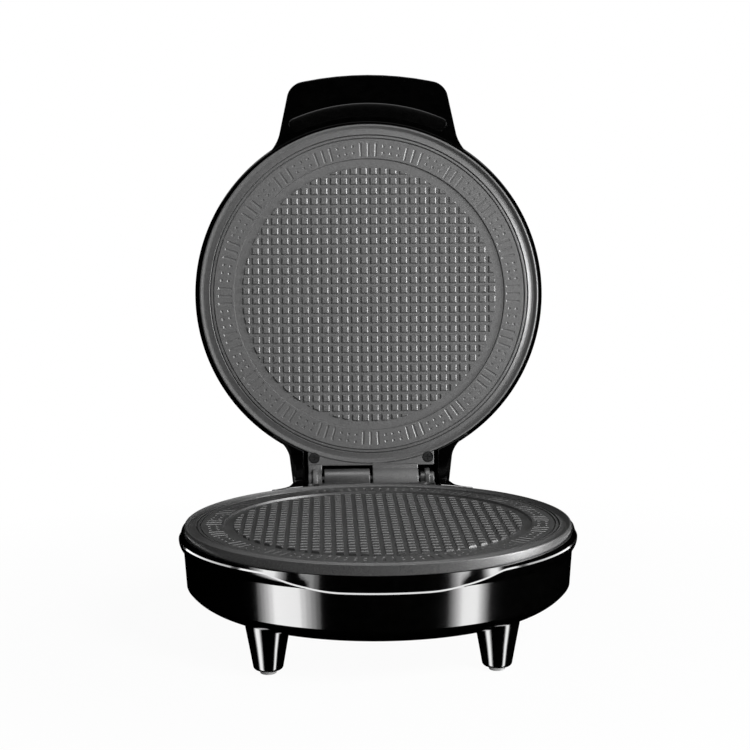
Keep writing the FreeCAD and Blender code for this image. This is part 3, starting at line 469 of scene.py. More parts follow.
def redrawn(radius, height, ledge, lowered, lean):
    """Where a corner of the lip goes when its ledge dips, its top is lowered and its lean changes."""
    low_radius = outer_radius(ledge) - LEDGE_OUTER[0] + LEDGE_INNER[0]
    low_height = ledge - LEDGE_OUTER[1] + LEDGE_INNER[1]
    top_height = LIP_TOP[1] + (FRONT_TOP - LIP_TOP[1]) * lowered
    top_radius = max(UPPER_LIP_LEAST_RADIUS, low_radius - lean * (top_height - low_height))
    on_upper_lip = radius > LIP_TOP[0] - ON_LINE and height > LEDGE_INNER[1] - ON_LINE
    on_flare = radius > LIP_INNER_RADIUS + 2 * INNER_MARGIN and height < LEDGE_OUTER[1] + ON_LINE
    if on_upper_lip:
        inwards = (LEDGE_INNER[0] - radius) / (LEDGE_INNER[0] - LIP_TOP[0])
        upwards = (height - LEDGE_INNER[1]) / (LIP_TOP[1] - LEDGE_INNER[1])
        new_radius = low_radius + (top_radius - low_radius) * inwards
        return new_radius, low_height + (top_height - low_height) * upwards
    if on_flare:
        crease = min(WALL_TOP[1], ledge - LEAST_FLARE)
        share = (height - WALL_TOP[1]) / (LEDGE_OUTER[1] - WALL_TOP[1])
        new_height = crease + (ledge - crease) * share
        return outer_radius(new_height), new_height
    sunk = top_height - LIP_TOP[1] if height > LEDGE_INNER[1] else 0
    return min(radius, top_radius - LIP_TOP[0] + radius), height + sunk


def press_scoop(mesh):
    """Redraw the lip at every step of the front half."""
    moved = 0
    for vert in mesh.verts:
        radius = math.hypot(vert.co.x, vert.co.y) / MM
        if vert.co.y > 0 or radius < LIP_INNER_RADIUS - INNER_MARGIN:
            continue
        away = math.degrees(math.atan2(abs(vert.co.x), -vert.co.y))
        lowered = min(1, max(0, FALL_ANGLE - away) / FALL_SPAN)
        sideways = min(1, max(0, away - LEAN_ANGLE) / LEAN_SPAN)
        lean = UPPER_LIP_LEAN["front"] + (UPPER_LIP_LEAN["side"] - UPPER_LIP_LEAN["front"]) * sideways
        ledge = ledge_height(vert.co.x / MM)
        new_radius, new_height = redrawn(radius, vert.co.z / MM, ledge, lowered, lean)
        share = new_radius / radius
        vert.co = (vert.co.x * share, vert.co.y * share, new_height * MM)
        moved += 1
    print("vertices redrawn for the scoop:", moved)


# %% [markdown]
# Behind the round wall each housing has a tail that flares out of the wall and carries the hinge.
# Its middle is lowered, so that the knuckles can swing in it. The outline's inner side follows the
# plate's edge, the flare and the rear corners are rounded as vertices, and the ears at the sides
# are raised from the same sheet, so that the whole tail is one closed shape.

# %% Hinge tails
TAIL_RECESS_HALF_WIDTH = 39.5
TAIL_RECESS_DEPTH = 7.5
TAIL_TOP = -0.4
TAIL_SWEEP = (55.2, 124.8)
TAIL_ROOT = (57.5, 82.67)
TAIL_NECK = (48.45, 88.3)
TAIL_HALF_WIDTH = 45.0
BASE_TAIL_REACH = 107.7
LID_TAIL_REACH = 118.0


def tail(reach, depth):
    """A closed tail that reaches back to a distance from the middle and down to a depth."""
    mesh = bmesh.new()
    inner = swept_corners(0, LIP_INNER_RADIUS, *TAIL_SWEEP, 28)
    end = (TAIL_HALF_WIDTH, reach)
    right = [end, TAIL_NECK, TAIL_ROOT]
    outline_face(mesh, inner + mirrored(right) + right)
    round_corners(mesh, mirrored([TAIL_NECK]) + [TAIL_NECK], 6.5)
    round_corners(mesh, mirrored([end]) + [end], 5.0)
    for side in (-1, 1):
        bmesh.ops.bisect_plane(mesh, geom=mesh.verts[:] + mesh.edges[:] + mesh.faces[:],
                               plane_co=(side * TAIL_RECESS_HALF_WIDTH * MM, 0, 0), plane_no=(1, 0, 0))
    bmesh.ops.translate(mesh, vec=(0, 0, -depth * MM), verts=mesh.verts)
    top = raise_faces(mesh, mesh.faces[:], depth - TAIL_RECESS_DEPTH, keep=True)
    ears = [face for face in top if abs(face.calc_center_median().x) > TAIL_RECESS_HALF_WIDTH * MM]
    raise_faces(mesh, ears, TAIL_RECESS_DEPTH + TAIL_TOP)
    soften(mesh, hard_edges(mesh), 0.7)
    return mesh


# %% [markdown]
# The base is the lower housing: a shallow drum with a rounded foot, the lip with its scoop, and
# the tail. It is spun in 288 steps, which keeps the lip's outline round in a close view.

# %% The base housing
HOUSING_STEPS = 288
HOUSING_SHARP_ANGLE = 18
BASE_BOTTOM = -39.2
BASE_INNER_BOTTOM = -36.2
BASE_ROUND_LOW = (88.2, -39.05)
BASE_ROUND_HIGH = (98.0, -31.75)

base = bmesh.new()
line(base, (0, BASE_BOTTOM), (40, BASE_BOTTOM), (87.4, BASE_BOTTOM), BASE_ROUND_LOW)
arc(base, BASE_ROUND_LOW, BASE_ROUND_HIGH, 22, 10)
line(base, BASE_ROUND_HIGH, (98.2, -31.3), WALL_ROW, WALL_TOP)
lip_and_seat(base)
line(base, SEAT_FOOT, (95.2, -31.4), (86.5, BASE_INNER_BOTTOM), (0, BASE_INNER_BOTTOM))
turn(base, HOUSING_STEPS)
press_scoop(base)
add_to(base, tail(BASE_TAIL_REACH, depth=31.0))
hand_over("base_moulding", base, "base", GLOSS_BLACK, ["base_housing"], PLACES["base"],
          HOUSING_SHARP_ANGLE)

# %% [markdown]
# The handle grows out of the front of the lid with the same flare. It is a block with a broad
# soft edge on the side that the hand touches first, and a shallow pocket in its underside for a
# separate cover. An inset of the face makes the rim round that pocket an even width.

# %% The handle
HANDLE_FACE = -5.0
HANDLE_DEPTH = 23.0
HANDLE_RIM = 1.8
POCKET_DEPTH = 2.7
CREST_CENTRE = 62.25
CREST_RADIUS = 190
CREST_SWEEP = (256.2, 283.8)
HANDLE_NECK = (53.4, -85.1)
HANDLE_ROOT = (63.0, -78.6)
HANDLE_BACK = (55.0, -76.0)


def handle():
    """A closed handle with a pocket in the side that faces the plate."""
    mesh = bmesh.new()
    top = swept_corners(CREST_CENTRE, CREST_RADIUS, *CREST_SWEEP, 10)
    right = [HANDLE_NECK, HANDLE_ROOT, HANDLE_BACK]
    outline_face(mesh, top + right + mirrored(right))
    round_corners(mesh, [HANDLE_NECK] + mirrored([HANDLE_NECK]), 8.9)
    round_corners(mesh, [top[0], top[-1]], 6.4)
    bmesh.ops.translate(mesh, vec=(0, 0, -HANDLE_DEPTH * MM), verts=mesh.verts)
    far = mesh.faces[:]
    near = raise_faces(mesh, far, HANDLE_DEPTH + HANDLE_FACE, keep=True)
    bmesh.ops.recalc_face_normals(mesh, faces=mesh.faces)
    soften(mesh, far[0].edges[:], 3.4, 6)
    bmesh.ops.inset_region(mesh, faces=near, thickness=HANDLE_RIM * MM, use_even_offset=True)
    raise_faces(mesh, near, -POCKET_DEPTH)
    just_below_face = (HANDLE_FACE - 0.1) * MM
    rim_edges = [edge for edge in hard_edges(mesh, 60)
                 if min(vert.co.z for vert in edge.verts) > just_below_face]
    soften(mesh, rim_edges, 0.35)
    return mesh


# %% [markdown]
# The lid's crown is only 3 mm higher in the middle than at its shoulder, yet that slight doming is
# what makes a moulded lid look real when light runs over it. The same lip closes it.

# %% The lid housing
CROWN_MIDDLE = (0, -37.0)
CROWN_EDGE = (82.0, -34.0)
CROWN_BEND = 1122.2
SHOULDER_FOOT = (98.6, -22.0)

lid = bmesh.new()
arc(lid, CROWN_MIDDLE, CROWN_EDGE, CROWN_BEND, 20)
arc(lid, CROWN_EDGE, SHOULDER_FOOT, 16, 14)
line(lid, SHOULDER_FOOT, WALL_TOP)
lip_and_seat(lid)
line(lid, SEAT_FOOT, (95.6, -22.0), (80.5, -31.0), (0, -34.0))
turn(lid, HOUSING_STEPS)
add_to(lid, tail(LID_TAIL_REACH, depth=21.5))
add_to(lid, handle())
hand_over("lid_moulding", lid, "lid", GLOSS_BLACK, ["lid_housing"], PLACES["lid"],
          HOUSING_SHARP_ANGLE)

# %% [markdown]
# The cover in the handle's underside is a thin panel with a raised kidney-shaped band, where the
# fingers grip. The band is an edge swept about the middle of the plate, so that its long sides stay
# parallel to the lid's round wall.

# %% The handle cover
COVER_FACE = -5.3
COVER_THICKNESS = 2.4
COVER_ROOT_RADIUS = 102.6
COVER_CREST_CENTRE = 64.3
BAND_HEIGHT = 0.8
BAND_ROOT = 0.5
BAND_RADII = (103.6, 111.6)
BAND_HALF_SWEEP = 25.0


def grip_band():
    """A raised band whose root runs a little way into the cover."""
    mesh = bmesh.new()
    first = [mesh.verts.new((0, -radius * MM, 0)) for radius in BAND_RADII]
    mesh.edges.new(first)
    half_sweep = math.radians(BAND_HALF_SWEEP)
    bmesh.ops.rotate(mesh, cent=(0, 0, 0), matrix=Matrix.Rotation(-half_sweep, 3, "Z"), verts=first)
    bmesh.ops.spin(mesh, geom=mesh.verts[:] + mesh.edges[:], cent=(0, 0, 0), axis=(0, 0, 1),
                   angle=2 * half_sweep, steps=22)
    ends = [vert for vert in mesh.verts if len(vert.link_edges) == 2]
    bmesh.ops.bevel(mesh, geom=ends, offset=3.2 * MM, offset_type="OFFSET", affect="VERTICES", segments=6,
                    profile=0.5, material=-1, clamp_overlap=False)
    top = raise_faces(mesh, mesh.faces[:], BAND_HEIGHT + BAND_ROOT, keep=True)
    rim = [edge for face in top for edge in face.edges if edge.calc_face_angle(0) > 0.5]
    soften(mesh, list(dict.fromkeys(rim)), 0.6)
    bmesh.ops.recalc_face_normals(mesh, faces=mesh.faces)
    bmesh.ops.translate(mesh, vec=(0, 0, (COVER_FACE - BAND_ROOT) * MM), verts=mesh.verts)
    return mesh


cover = bmesh.new()
root = swept_corners(0, COVER_ROOT_RADIUS, 297.95, 242.05, 16)
crest = swept_corners(COVER_CREST_CENTRE, CREST_RADIUS, 256.55, 283.45, 10)
outline_face(cover, root + crest)
round_corners(cover, [crest[0], crest[-1]], 5.2)
bmesh.ops.translate(cover, vec=(0, 0, (COVER_FACE - COVER_THICKNESS) * MM), verts=cover.verts)
raise_faces(cover, cover.faces[:], COVER_THICKNESS, keep=True)
soften(cover, hard_edges(cover, 60), 0.3)
add_to(cover, grip_band())
hand_over("handle_grip_cover", cover, "lid", COVER_BLACK, ["handle_cover"], PLACES["lid"])

# %% [markdown]
# The plates are the heart of the object. From the edge inwards there is a round rim that stops the
# batter, a channel with one steep and one gentle side, a ridge between two fine lines, the land with
# its engraved marks, and a lower ring round the field of pads. All of that is one profile, turned in
# 360 steps, because one degree is just as wide as an engraved dash.

# %% The turned disc of a plate
PLATE_STEPS = 360
PLATE_RADIUS = 98.9
PLATE_BACK = -5.8
RIM_SIDE = (PLATE_RADIUS, -1.35)
RIM_TOP = (98.1, -0.55)
CHANNEL = ((97.85, -0.65), (96.7, -2.85), (96.45, -3.05), (96.1, -3.0), (93.4, -1.15))
CHANNEL_EDGE = ((93.1, -1.05), (92.95, -1.2))
OUTER_LINE = ((92.8, -2.6), (92.4, -2.6))
RIDGE = ((92.25, -1.3), (92.1, -1.22), (91.15, -1.22))
INNER_LINE = ((91.0, -2.4), (90.65, -2.4))
DASH_ROWS = (80.2, 88.1)
INNER_DOT_ROWS = (81.75, 83.25)
OUTER_DOT_ROWS = (85.75, 87.25)
LAND_EDGE, FIELD_EDGE = 90.4, 79.25
LAND_ROWS = sorted((LAND_EDGE, FIELD_EDGE, *DASH_ROWS, *INNER_DOT_ROWS, *OUTER_DOT_ROWS), reverse=True)
LAND_DEPTH = 1.4
FIELD_DEPTH = 2.5


def plate_disc():
    """The turned disc, with its rows set half a step round so that a face can be one dash."""
    mesh = bmesh.new()
    line(mesh, (0, PLATE_BACK), (98.5, PLATE_BACK), (PLATE_RADIUS, -5.4), RIM_SIDE)
    arc(mesh, RIM_SIDE, RIM_TOP, 0.8, 6)
    line(mesh, RIM_TOP, *CHANNEL, *CHANNEL_EDGE, *OUTER_LINE, *RIDGE, *INNER_LINE, (LAND_EDGE, -LAND_DEPTH))
    line(mesh, *[(radius, -LAND_DEPTH) for radius in LAND_ROWS])
    line(mesh, (FIELD_EDGE, -LAND_DEPTH), (78.9, -FIELD_DEPTH), (60, -FIELD_DEPTH), (0, -FIELD_DEPTH))
    turn(mesh, PLATE_STEPS)
    half_step = Matrix.Rotation(math.pi / PLATE_STEPS, 3, "Z")
    bmesh.ops.rotate(mesh, cent=(0, 0, 0), matrix=half_step, verts=mesh.verts)
    return mesh


# %% [markdown]
# Round the land, twenty groups of three dashes take turns with twenty groups of three pairs of
# dots. They are engraved. One inset of all the chosen faces, with a depth, sinks them and slopes
# their walls at once, which is how a milling cutter with a pointed tip would leave them.

# %% Engraved marks
MARK_GROUPS = 20
MARK_STEP = 3.0
MARK_DEPTH = 0.36
MARK_SLOPE_WIDTH = 0.45


def mark_at(face):
    """Whether a face of the land belongs to a dash or a dot."""
    middle = face.calc_center_median()
    radius = math.hypot(middle.x, middle.y) / MM
    if face.normal.z < 0.9 or not DASH_ROWS[0] < radius < DASH_ROWS[1]:
        return False
    angle = math.degrees(math.atan2(middle.x, middle.y)) % (360 / MARK_GROUPS)
    for centre, rows in ((0, [DASH_ROWS]), (180 / MARK_GROUPS, [INNER_DOT_ROWS, OUTER_DOT_ROWS])):
        for step in (-1, 0, 1):
            offset = (angle - centre - step * MARK_STEP + 180 / MARK_GROUPS) % (360 / MARK_GROUPS)
            near = abs(offset - 180 / MARK_GROUPS) < 180 / PLATE_STEPS
            if near and any(low < radius < high for low, high in rows):
                return True
    return False


def engrave(mesh):
    """Sink every dash and dot of the land."""
    marks = [face for face in mesh.faces if mark_at(face)]
    bmesh.ops.inset_region(mesh, faces=marks, thickness=MARK_SLOPE_WIDTH * MM, depth=-MARK_DEPTH * MM,
                           use_even_offset=True)
    print("faces engraved:", len(marks))


# %% [markdown]
# The waffle field is a grid of small raised pads with straight streets between them. It starts as
# a plain grid, one face for a pad. Two insets shape each face on its own: the first leaves the
# street, the second, with a depth, raises the steep sides. A last one breaks the top edge.
# A ring with a leaning bore then trims the square sheet to a disc, so that the pads at the border
# end in the same sloped side, just as if the mould had been turned after it was milled.

# %% The field of pads
PAD_PITCH = 5.75
PAD_ROWS = 26
PAD_SHEET = 0.6
PAD_CIRCLE = 74.0
STREET_HALF_WIDTH = 0.8
PAD_SIDE = 0.28
PAD_EDGE = 0.42
PAD_EDGE_DROP = 0.3
PAD_HEIGHT = 1.1


def trimming_ring():
    """A ring with a leaning bore, larger than the sheet of pads."""
    top = PAD_SHEET + PAD_HEIGHT
    mesh = bmesh.new()
    line(mesh, (PAD_CIRCLE + PAD_SIDE, -1), (120, -1), (120, 2 * top), (PAD_CIRCLE - 2 * PAD_SIDE, 2 * top),
         (PAD_CIRCLE, PAD_SHEET), (PAD_CIRCLE + PAD_SIDE, -1))
    return turn(mesh, 180)


def pad_field():
    """A round sheet of pads, its top just above the floor of the field."""
    mesh = bmesh.new()
    half_sheet = PAD_PITCH * PAD_ROWS / 2
    bmesh.ops.create_grid(mesh, x_segments=PAD_ROWS, y_segments=PAD_ROWS, size=half_sheet * MM)
    pads = raise_faces(mesh, mesh.faces[:], PAD_SHEET, keep=True)
    bmesh.ops.recalc_face_normals(mesh, faces=mesh.faces)
    for thickness, height in ((STREET_HALF_WIDTH, 0), (PAD_SIDE, PAD_HEIGHT - PAD_EDGE_DROP),
                              (PAD_EDGE, PAD_EDGE_DROP)):
        bmesh.ops.inset_individual(mesh, faces=pads, thickness=thickness * MM, depth=height * MM,
                                   use_even_offset=True)
    mesh = carve(mesh, trimming_ring())
    bmesh.ops.translate(mesh, vec=(0, 0, (0.05 - FIELD_DEPTH - PAD_SHEET) * MM), verts=mesh.verts)
    print("faces of the pad field:", len(mesh.faces))
    return mesh


# %% [markdown]
# At the back the casting carries its half of the hinge: a flat bracket with two screw seats, a long
# barrel on one side and a short lug with a thin ear on the other. Turned over, the upper plate's
# barrel and lug fall beside those of the lower plate, and one pin runs through all four.

# %% Hinge bracket and knuckles
SCREW_X = 33.4
SCREW_Y = 95.4
SCREW_TOP = -1.0
SCREW_SEAT = -2.6
SCREW_RECESS_RADIUS = 3.3
BRACKET_TOP = -0.5
BRACKET_BACK = -5.79
BRACKET_HALF_WIDTH = 37.0
DISC_ROOM_RADIUS = 99.0
BARREL = (-27.5, -0.8)
BARREL_RADIUS = 6.3
LUG = (28.8, 36.8)
LUG_RADIUS = 4.2
EAR = (31.4, 34.2)
HINGE_EDGE = 0.5


def screw_spots(height):
    """The places of the two bracket screws at a height."""
    return [Vector((side * SCREW_X, SCREW_Y, height)) * MM for side in (-1, 1)]


def screw_rooms():
    """Two round cutters for the screw seats."""
    mesh = bmesh.new()
    for spot in screw_spots(0):
        bmesh.ops.create_cone(mesh, cap_ends=True, segments=48, radius1=SCREW_RECESS_RADIUS * MM,
                              radius2=SCREW_RECESS_RADIUS * MM, depth=-2 * SCREW_SEAT * MM,
                              matrix=Matrix.Translation(spot))
    return mesh


def disc_room():
    """A round cutter that leaves a fine groove between the bracket and the disc."""
    mesh = bmesh.new()
    bmesh.ops.create_cone(mesh, cap_ends=True, segments=240, radius1=DISC_ROOM_RADIUS * MM,
                          radius2=DISC_ROOM_RADIUS * MM, depth=20 * MM)
    return mesh


def hinge_half():
    """The bracket with its barrel, lug and ear."""
    low = (-BRACKET_HALF_WIDTH, 88.0, BRACKET_BACK)
    high = (BRACKET_HALF_WIDTH, 100.0, BRACKET_TOP)
    mesh = carve(block(low, high, HINGE_EDGE), screw_rooms())
    mesh = carve(mesh, disc_room())
    for (start, end), radius in ((BARREL, BARREL_RADIUS), (LUG, LUG_RADIUS), (EAR, BARREL_RADIUS)):
        add_to(mesh, rod(start, end, radius, HINGE_EDGE))
    for start, end in (BARREL, LUG):
        add_to(mesh, block((start, 98.6, PLATE_BACK), (end, 107.0, BRACKET_TOP), HINGE_EDGE))
    return mesh


# %% [markdown]
# Both plates are the same casting, so the same calls make both, each in its own half frame.

# %% The two plates
PLATE_SHARP_ANGLE = 30

for body, node in (("base", "lower_plate"), ("lid", "upper_plate")):
    plate = plate_disc()
    engrave(plate)
    plate = carve(plate, screw_rooms())
    add_to(plate, pad_field())
    add_to(plate, hinge_half())
    hand_over(f"{node}_casting", plate, body, PLATE_COAT, [node], PLACES[body],
              PLATE_SHARP_ANGLE)

# %% [markdown]
# The bracket screws are pan heads with a cross recess. The head is turned with a domed top, and two
# thin bars are cut out of it. The heads sit a little below the face of the bracket.

# %% Bracket screws
CROSS_LENGTH = 3.6
CROSS_WIDTH = 0.8
CROSS_DEPTH = 1.6


def screw_head():
    """A pan head with a cross recess, its top at height zero."""
    mesh = bmesh.new()
    line(mesh, (0, -1.6), (3.0, -1.6), (3.0, -0.7))
    arc(mesh, (3.0, -0.7), (2.3, -0.12), 0.8, 5)
    arc(mesh, (2.3, -0.12), (0, 0), 22, 4)
    turn(mesh, 48)
    for size in ((CROSS_LENGTH, CROSS_WIDTH, CROSS_DEPTH), (CROSS_WIDTH, CROSS_LENGTH, CROSS_DEPTH)):
        mesh = carve(mesh, block([-side / 2 for side in size], [side / 2 for side in size], 0.08))
    return mesh


for body, node in (("base", "base_hinge_screws"), ("lid", "lid_hinge_screws")):
    pair = bmesh.new()
    for spot in screw_spots(SCREW_TOP):
        head = screw_head()
        bmesh.ops.translate(head, vec=spot, verts=head.verts)
        add_to(pair, head)
    hand_over(f"{node}_heads", pair, body, SCREW_DARK, [node], PLACES[body])

# %% [markdown]
# Four tapered feet stand under the base, each with a pale rubber pad. Each foot runs a little way
# up into the base, where the moulding's boss meets it.

# %% Feet and pads
FOOT_TOP = 23.2
FOOT_ROOT = 5.0
FOOT_CIRCLE = 80.3
FOOT_ANGLES = {"foot_front_left": 180 + 46.8, "foot_front_right": -46.8,
               "foot_rear_left": 180 - 64.8, "foot_rear_right": 64.8}

pads = bmesh.new()
for node, angle in FOOT_ANGLES.items():
    away = math.radians(angle)
    spot = Matrix.Translation((FOOT_CIRCLE * MM * math.cos(away), FOOT_CIRCLE * MM * math.sin(away), 0))
    foot = bmesh.new()
    line(foot, (0, 2.0), (3.0, 2.0), (5.5, 2.0))
    arc(foot, (5.5, 2.0), (7.3, 3.7), 1.9, 8)
    line(foot, (7.3, 3.7), (9.0, 13.3), (10.8, FOOT_TOP), (10.8, FOOT_TOP + FOOT_ROOT),
         (0, FOOT_TOP + FOOT_ROOT))
    turn(foot, 72)
    hand_over(f"{node}_taper", foot, "base", GLOSS_BLACK, [node], spot)
    pad = bmesh.new()
    line(pad, (0, 0), (3.5, 0))
    arc(pad, (3.5, 0), (4.0, 0.5), 0.5, 4)
    line(pad, (4.0, 0.5), (4.0, 2.1), (0, 2.1))
    turn(pad, 48)
    bmesh.ops.transform(pad, matrix=spot, verts=pad.verts)
    add_to(pads, pad)
hand_over("foot_pad_discs", pads, "base", PAD_RUBBER, ["foot_pads"])

# %% [markdown]
# The cord's entry is a soft bush in the tail of the base. It is turned about its own axis like the
# rest, and then laid along Y. The lamps in the lid's crown are two small domed lenses.

# %% Cord bush and lamp lenses
CORD_HEIGHT = -21.5
LENS_LENGTH = 8.0
LENS_Y = -66.0

bush = bmesh.new()
line(bush, (3.6, -12.0), (6.0, -12.0), (6.0, 0), (8.5, 0), (8.5, 0.9))
arc(bush, (8.5, 0.9), (7.4, 2.0), 1.1001, 6)
line(bush, (7.4, 2.0), (4.2, 2.0))
arc(bush, (4.2, 2.0), (3.6, 1.4), 0.6001, 4)
line(bush, (3.6, 1.4), (3.6, -12.0))
turn(bush, 64)
entry = Matrix.Translation((0, BASE_TAIL_REACH * MM, CORD_HEIGHT * MM))
laid = PLACES["base"] @ entry @ Matrix.Rotation(-math.pi / 2, 4, "X")
hand_over("cord_entry_bush", bush, "base", GLAND_RUBBER, ["cord_gland"], laid)

for node, x, material, slot in (("power_lamp_lens", -11.0, LENS_RED, "lens_red"),
                                ("ready_lamp_lens", 11.0, LENS_GREEN, "lens_green")):
    lens = bmesh.new()
    line(lens, (0, 0), (0.6, 0.0))
    arc(lens, (0.6, 0.0), (3.0, 1.1), 4.0, 8)
    line(lens, (3.0, 1.1), (3.0, LENS_LENGTH), (0, LENS_LENGTH))
    turn(lens, 48)
    low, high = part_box(node)
    middle = PLACES["lid"].inverted() @ ((low + high) / 2)
    spot = PLACES["lid"] @ Matrix.Translation((x * MM, LENS_Y * MM, middle.z - LENS_LENGTH / 2 * MM))
    hand_over(f"{node}_dome", lens, "lid", material, [node], spot)

# %% [markdown]
# The stage is a plain white floor under a white sky. The sky is white where it is seen, straight or
# in a reflection, and much dimmer as soft light, so that the lamps shape the object.

# %% Sky
SKY_LIGHT = 0.06


def seen_directly(nodes, links):
    """1 for camera, glossy and transmission rays, 0 for the rest."""
    rays = nodes.new("ShaderNodeLightPath")
    total = rays.outputs["Is Camera Ray"]
    for ray in ("Is Glossy Ray", "Is Transmission Ray"):
        most = nodes.new("ShaderNodeMath")
        most.operation = "MAXIMUM"
        links.new(total, most.inputs[0])
        links.new(rays.outputs[ray], most.inputs[1])
        total = most.outputs[0]
    return total


sky = bpy.data.worlds.new("white_sky")
sky.use_nodes = True
bpy.context.scene.world = sky
nodes, links = sky.node_tree.nodes, sky.node_tree.links
level = nodes.new("ShaderNodeMapRange")
level.inputs["To Min"].default_value = SKY_LIGHT
level.inputs["To Max"].default_value = 1.0
links.new(seen_directly(nodes, links), level.inputs["Value"])
nodes["Background"].inputs["Color"].default_value = (1, 1, 1, 1)
links.new(level.outputs["Result"], nodes["Background"].inputs["Strength"])
print("strength of the sky as soft light:", SKY_LIGHT)

# %% [markdown]
# Near the object the floor keeps part of the shadow that falls on it, and farther away it runs into
# the white of the sky. Reflections don't see the floor, because its white would turn the lower half
# of all the black gloss grey.

# %% Floor
FLOOR_GREY = 0.7
FLOOR_WHITE_NEAR = 0.96
FLOOR_FADE_START, FLOOR_FADE_END = 0.15, 0.4
FLOOR_HALF_SIZE = 6

paper = bpy.data.materials.new("white_floor_paper")
paper.use_nodes = True
nodes, links = paper.node_tree.nodes, paper.node_tree.links
matt = nodes["Principled BSDF"]
matt.inputs["Base Color"].default_value = (*grey(FLOOR_GREY), 1)
matt.inputs["Roughness"].default_value = 0.9
white = nodes.new("ShaderNodeEmission")
mix = nodes.new("ShaderNodeMixShader")
place = nodes.new("ShaderNodeTexCoord")
distance = nodes.new("ShaderNodeVectorMath")
distance.operation = "LENGTH"
links.new(place.outputs["Object"], distance.inputs[0])
whiteness = nodes.new("ShaderNodeMapRange")
whiteness.inputs["From Min"].default_value = FLOOR_FADE_START
whiteness.inputs["From Max"].default_value = FLOOR_FADE_END
whiteness.inputs["To Min"].default_value = FLOOR_WHITE_NEAR
whiteness.inputs["To Max"].default_value = 1.0
links.new(distance.outputs["Value"], whiteness.inputs["Value"])
share = nodes.new("ShaderNodeMath")
share.operation = "MULTIPLY"
links.new(seen_directly(nodes, links), share.inputs[0])
links.new(whiteness.outputs["Result"], share.inputs[1])
links.new(share.outputs["Value"], mix.inputs["Fac"])
links.new(matt.outputs["BSDF"], mix.inputs[1])
links.new(white.outputs["Emission"], mix.inputs[2])
links.new(mix.outputs["Shader"], nodes["Material Output"].inputs["Surface"])
floor_mesh = bmesh.new()
bmesh.ops.create_grid(floor_mesh, x_segments=2, y_segments=2, size=FLOOR_HALF_SIZE)
floor_data = bpy.data.meshes.new("floor")
floor_mesh.to_mesh(floor_data)
floor_mesh.free()
floor_data.materials.append(paper)
floor = bpy.data.objects.new("floor", floor_data)
floor.visible_glossy = False
bpy.context.scene.collection.objects.link(floor)
floor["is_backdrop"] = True
print("floor of", 2 * FLOOR_HALF_SIZE, "m")

# %% [markdown]
# Black gloss among white walls would look grey, so a photographer hangs black cloth round the table
# and under its edge, open at the top. Here it is a curtain that only reflections see.

# %% Curtain
CURTAIN_RADIUS = 1600
CURTAIN_BOTTOM, CURTAIN_TOP = -1400, 1100

curtain_mesh = bmesh.new()
line(curtain_mesh, (0, CURTAIN_BOTTOM), (CURTAIN_RADIUS, CURTAIN_BOTTOM), (CURTAIN_RADIUS, CURTAIN_TOP))
turn(curtain_mesh, 60)
curtain_data = bpy.data.meshes.new("black_curtain")
curtain_mesh.to_mesh(curtain_data)
curtain_mesh.free()
cloth = bpy.data.materials.new("black_cloth")
cloth.use_nodes = True
cloth_shader = cloth.node_tree.nodes["Principled BSDF"]
cloth_shader.inputs["Base Color"].default_value = (0, 0, 0, 1)
cloth_shader.inputs["Specular IOR Level"].default_value = 0
curtain_data.materials.append(cloth)
curtain = bpy.data.objects.new("black_curtain", curtain_data)
bpy.context.scene.collection.objects.link(curtain)
for ray in ("camera", "diffuse", "transmission", "volume_scatter", "shadow"):
    setattr(curtain, f"visible_{ray}", False)
curtain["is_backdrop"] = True
print("curtain with", len(curtain_data.polygons), "faces")

# %% [markdown]
# A lamp either lights the object and is never mirrored, or is a panel that is only mirrored. Light
# linking does what flags and screens do in a studio: it keeps a lamp off some pieces, or lets only
# one group of pieces mirror a panel.

# %% Lamps and panels
PANEL_STEPS = 5
PANEL_STEP_DEPTH = 0.01
PANEL_DISTANCE = 0.74
PANEL_HEIGHT = 1.05
PANEL_MIDDLE = -0.375


def pieces_named(*parts):
    """The objects whose names hold one of some words."""
    return [piece for piece in bpy.data.objects if any(part in piece.name for part in parts)]


def lamp(name, place, target, width, height, power, mirrored_by=None, kept_from=()):
    """A soft lamp, with flags that keep it from some pieces, or a panel that only some pieces mirror."""
    light = bpy.data.lights.new(name, "AREA")
    light.shape = "RECTANGLE"
    light.size = width
    light.size_y = height
    light.energy = power
    lamp_object = bpy.data.objects.new(name, light)
    lamp_object.location = place
    aim = Vector(target) - Vector(place)
    lamp_object.rotation_euler = aim.to_track_quat("-Z", "Y").to_euler()
    lamp_object.visible_camera = False
    lamp_object.visible_glossy = mirrored_by is not None
    lamp_object.visible_diffuse = mirrored_by is None
    bpy.context.scene.collection.objects.link(lamp_object)
    if not mirrored_by and not kept_from:
        return
    group = bpy.data.collections.new(f"{name}_pieces")
    for piece in mirrored_by or kept_from:
        group.objects.link(piece)
    for member in group.collection_objects:
        member.light_linking.link_state = "INCLUDE" if mirrored_by else "EXCLUDE"
    lamp_object.light_linking.receiver_collection = group


def soft_panel(name, angle, width, power, mirrored_by):
    """Tall panels, one close before the other and each narrower, so that the edges fade.

    The angle is measured from straight in front of the object, and is positive to the right.
    """
    away = math.radians(angle)
    for step in range(PANEL_STEPS):
        distance = PANEL_DISTANCE - PANEL_STEP_DEPTH * step
        place = (distance * math.sin(away), -distance * math.cos(away), PANEL_MIDDLE)
        lamp(f"{name}_{step}", place, (0, 0, PANEL_MIDDLE), width * (1 - 0.15 * step), PANEL_HEIGHT,
             power / PANEL_STEPS, mirrored_by)


# %% [markdown]
# Three small lamps light the object from the right: one in front and above, which is kept off the
# lower plate, a weaker one below it, and one far to the side. The panels are for reflections: two
# tall ones for the upright bands on the round wall and the feet, a wide one overhead and two behind
# the sides for the ledge, weak ones round the lid, a soft one behind it, and two for the glints on
# the edges of the pads and marks.

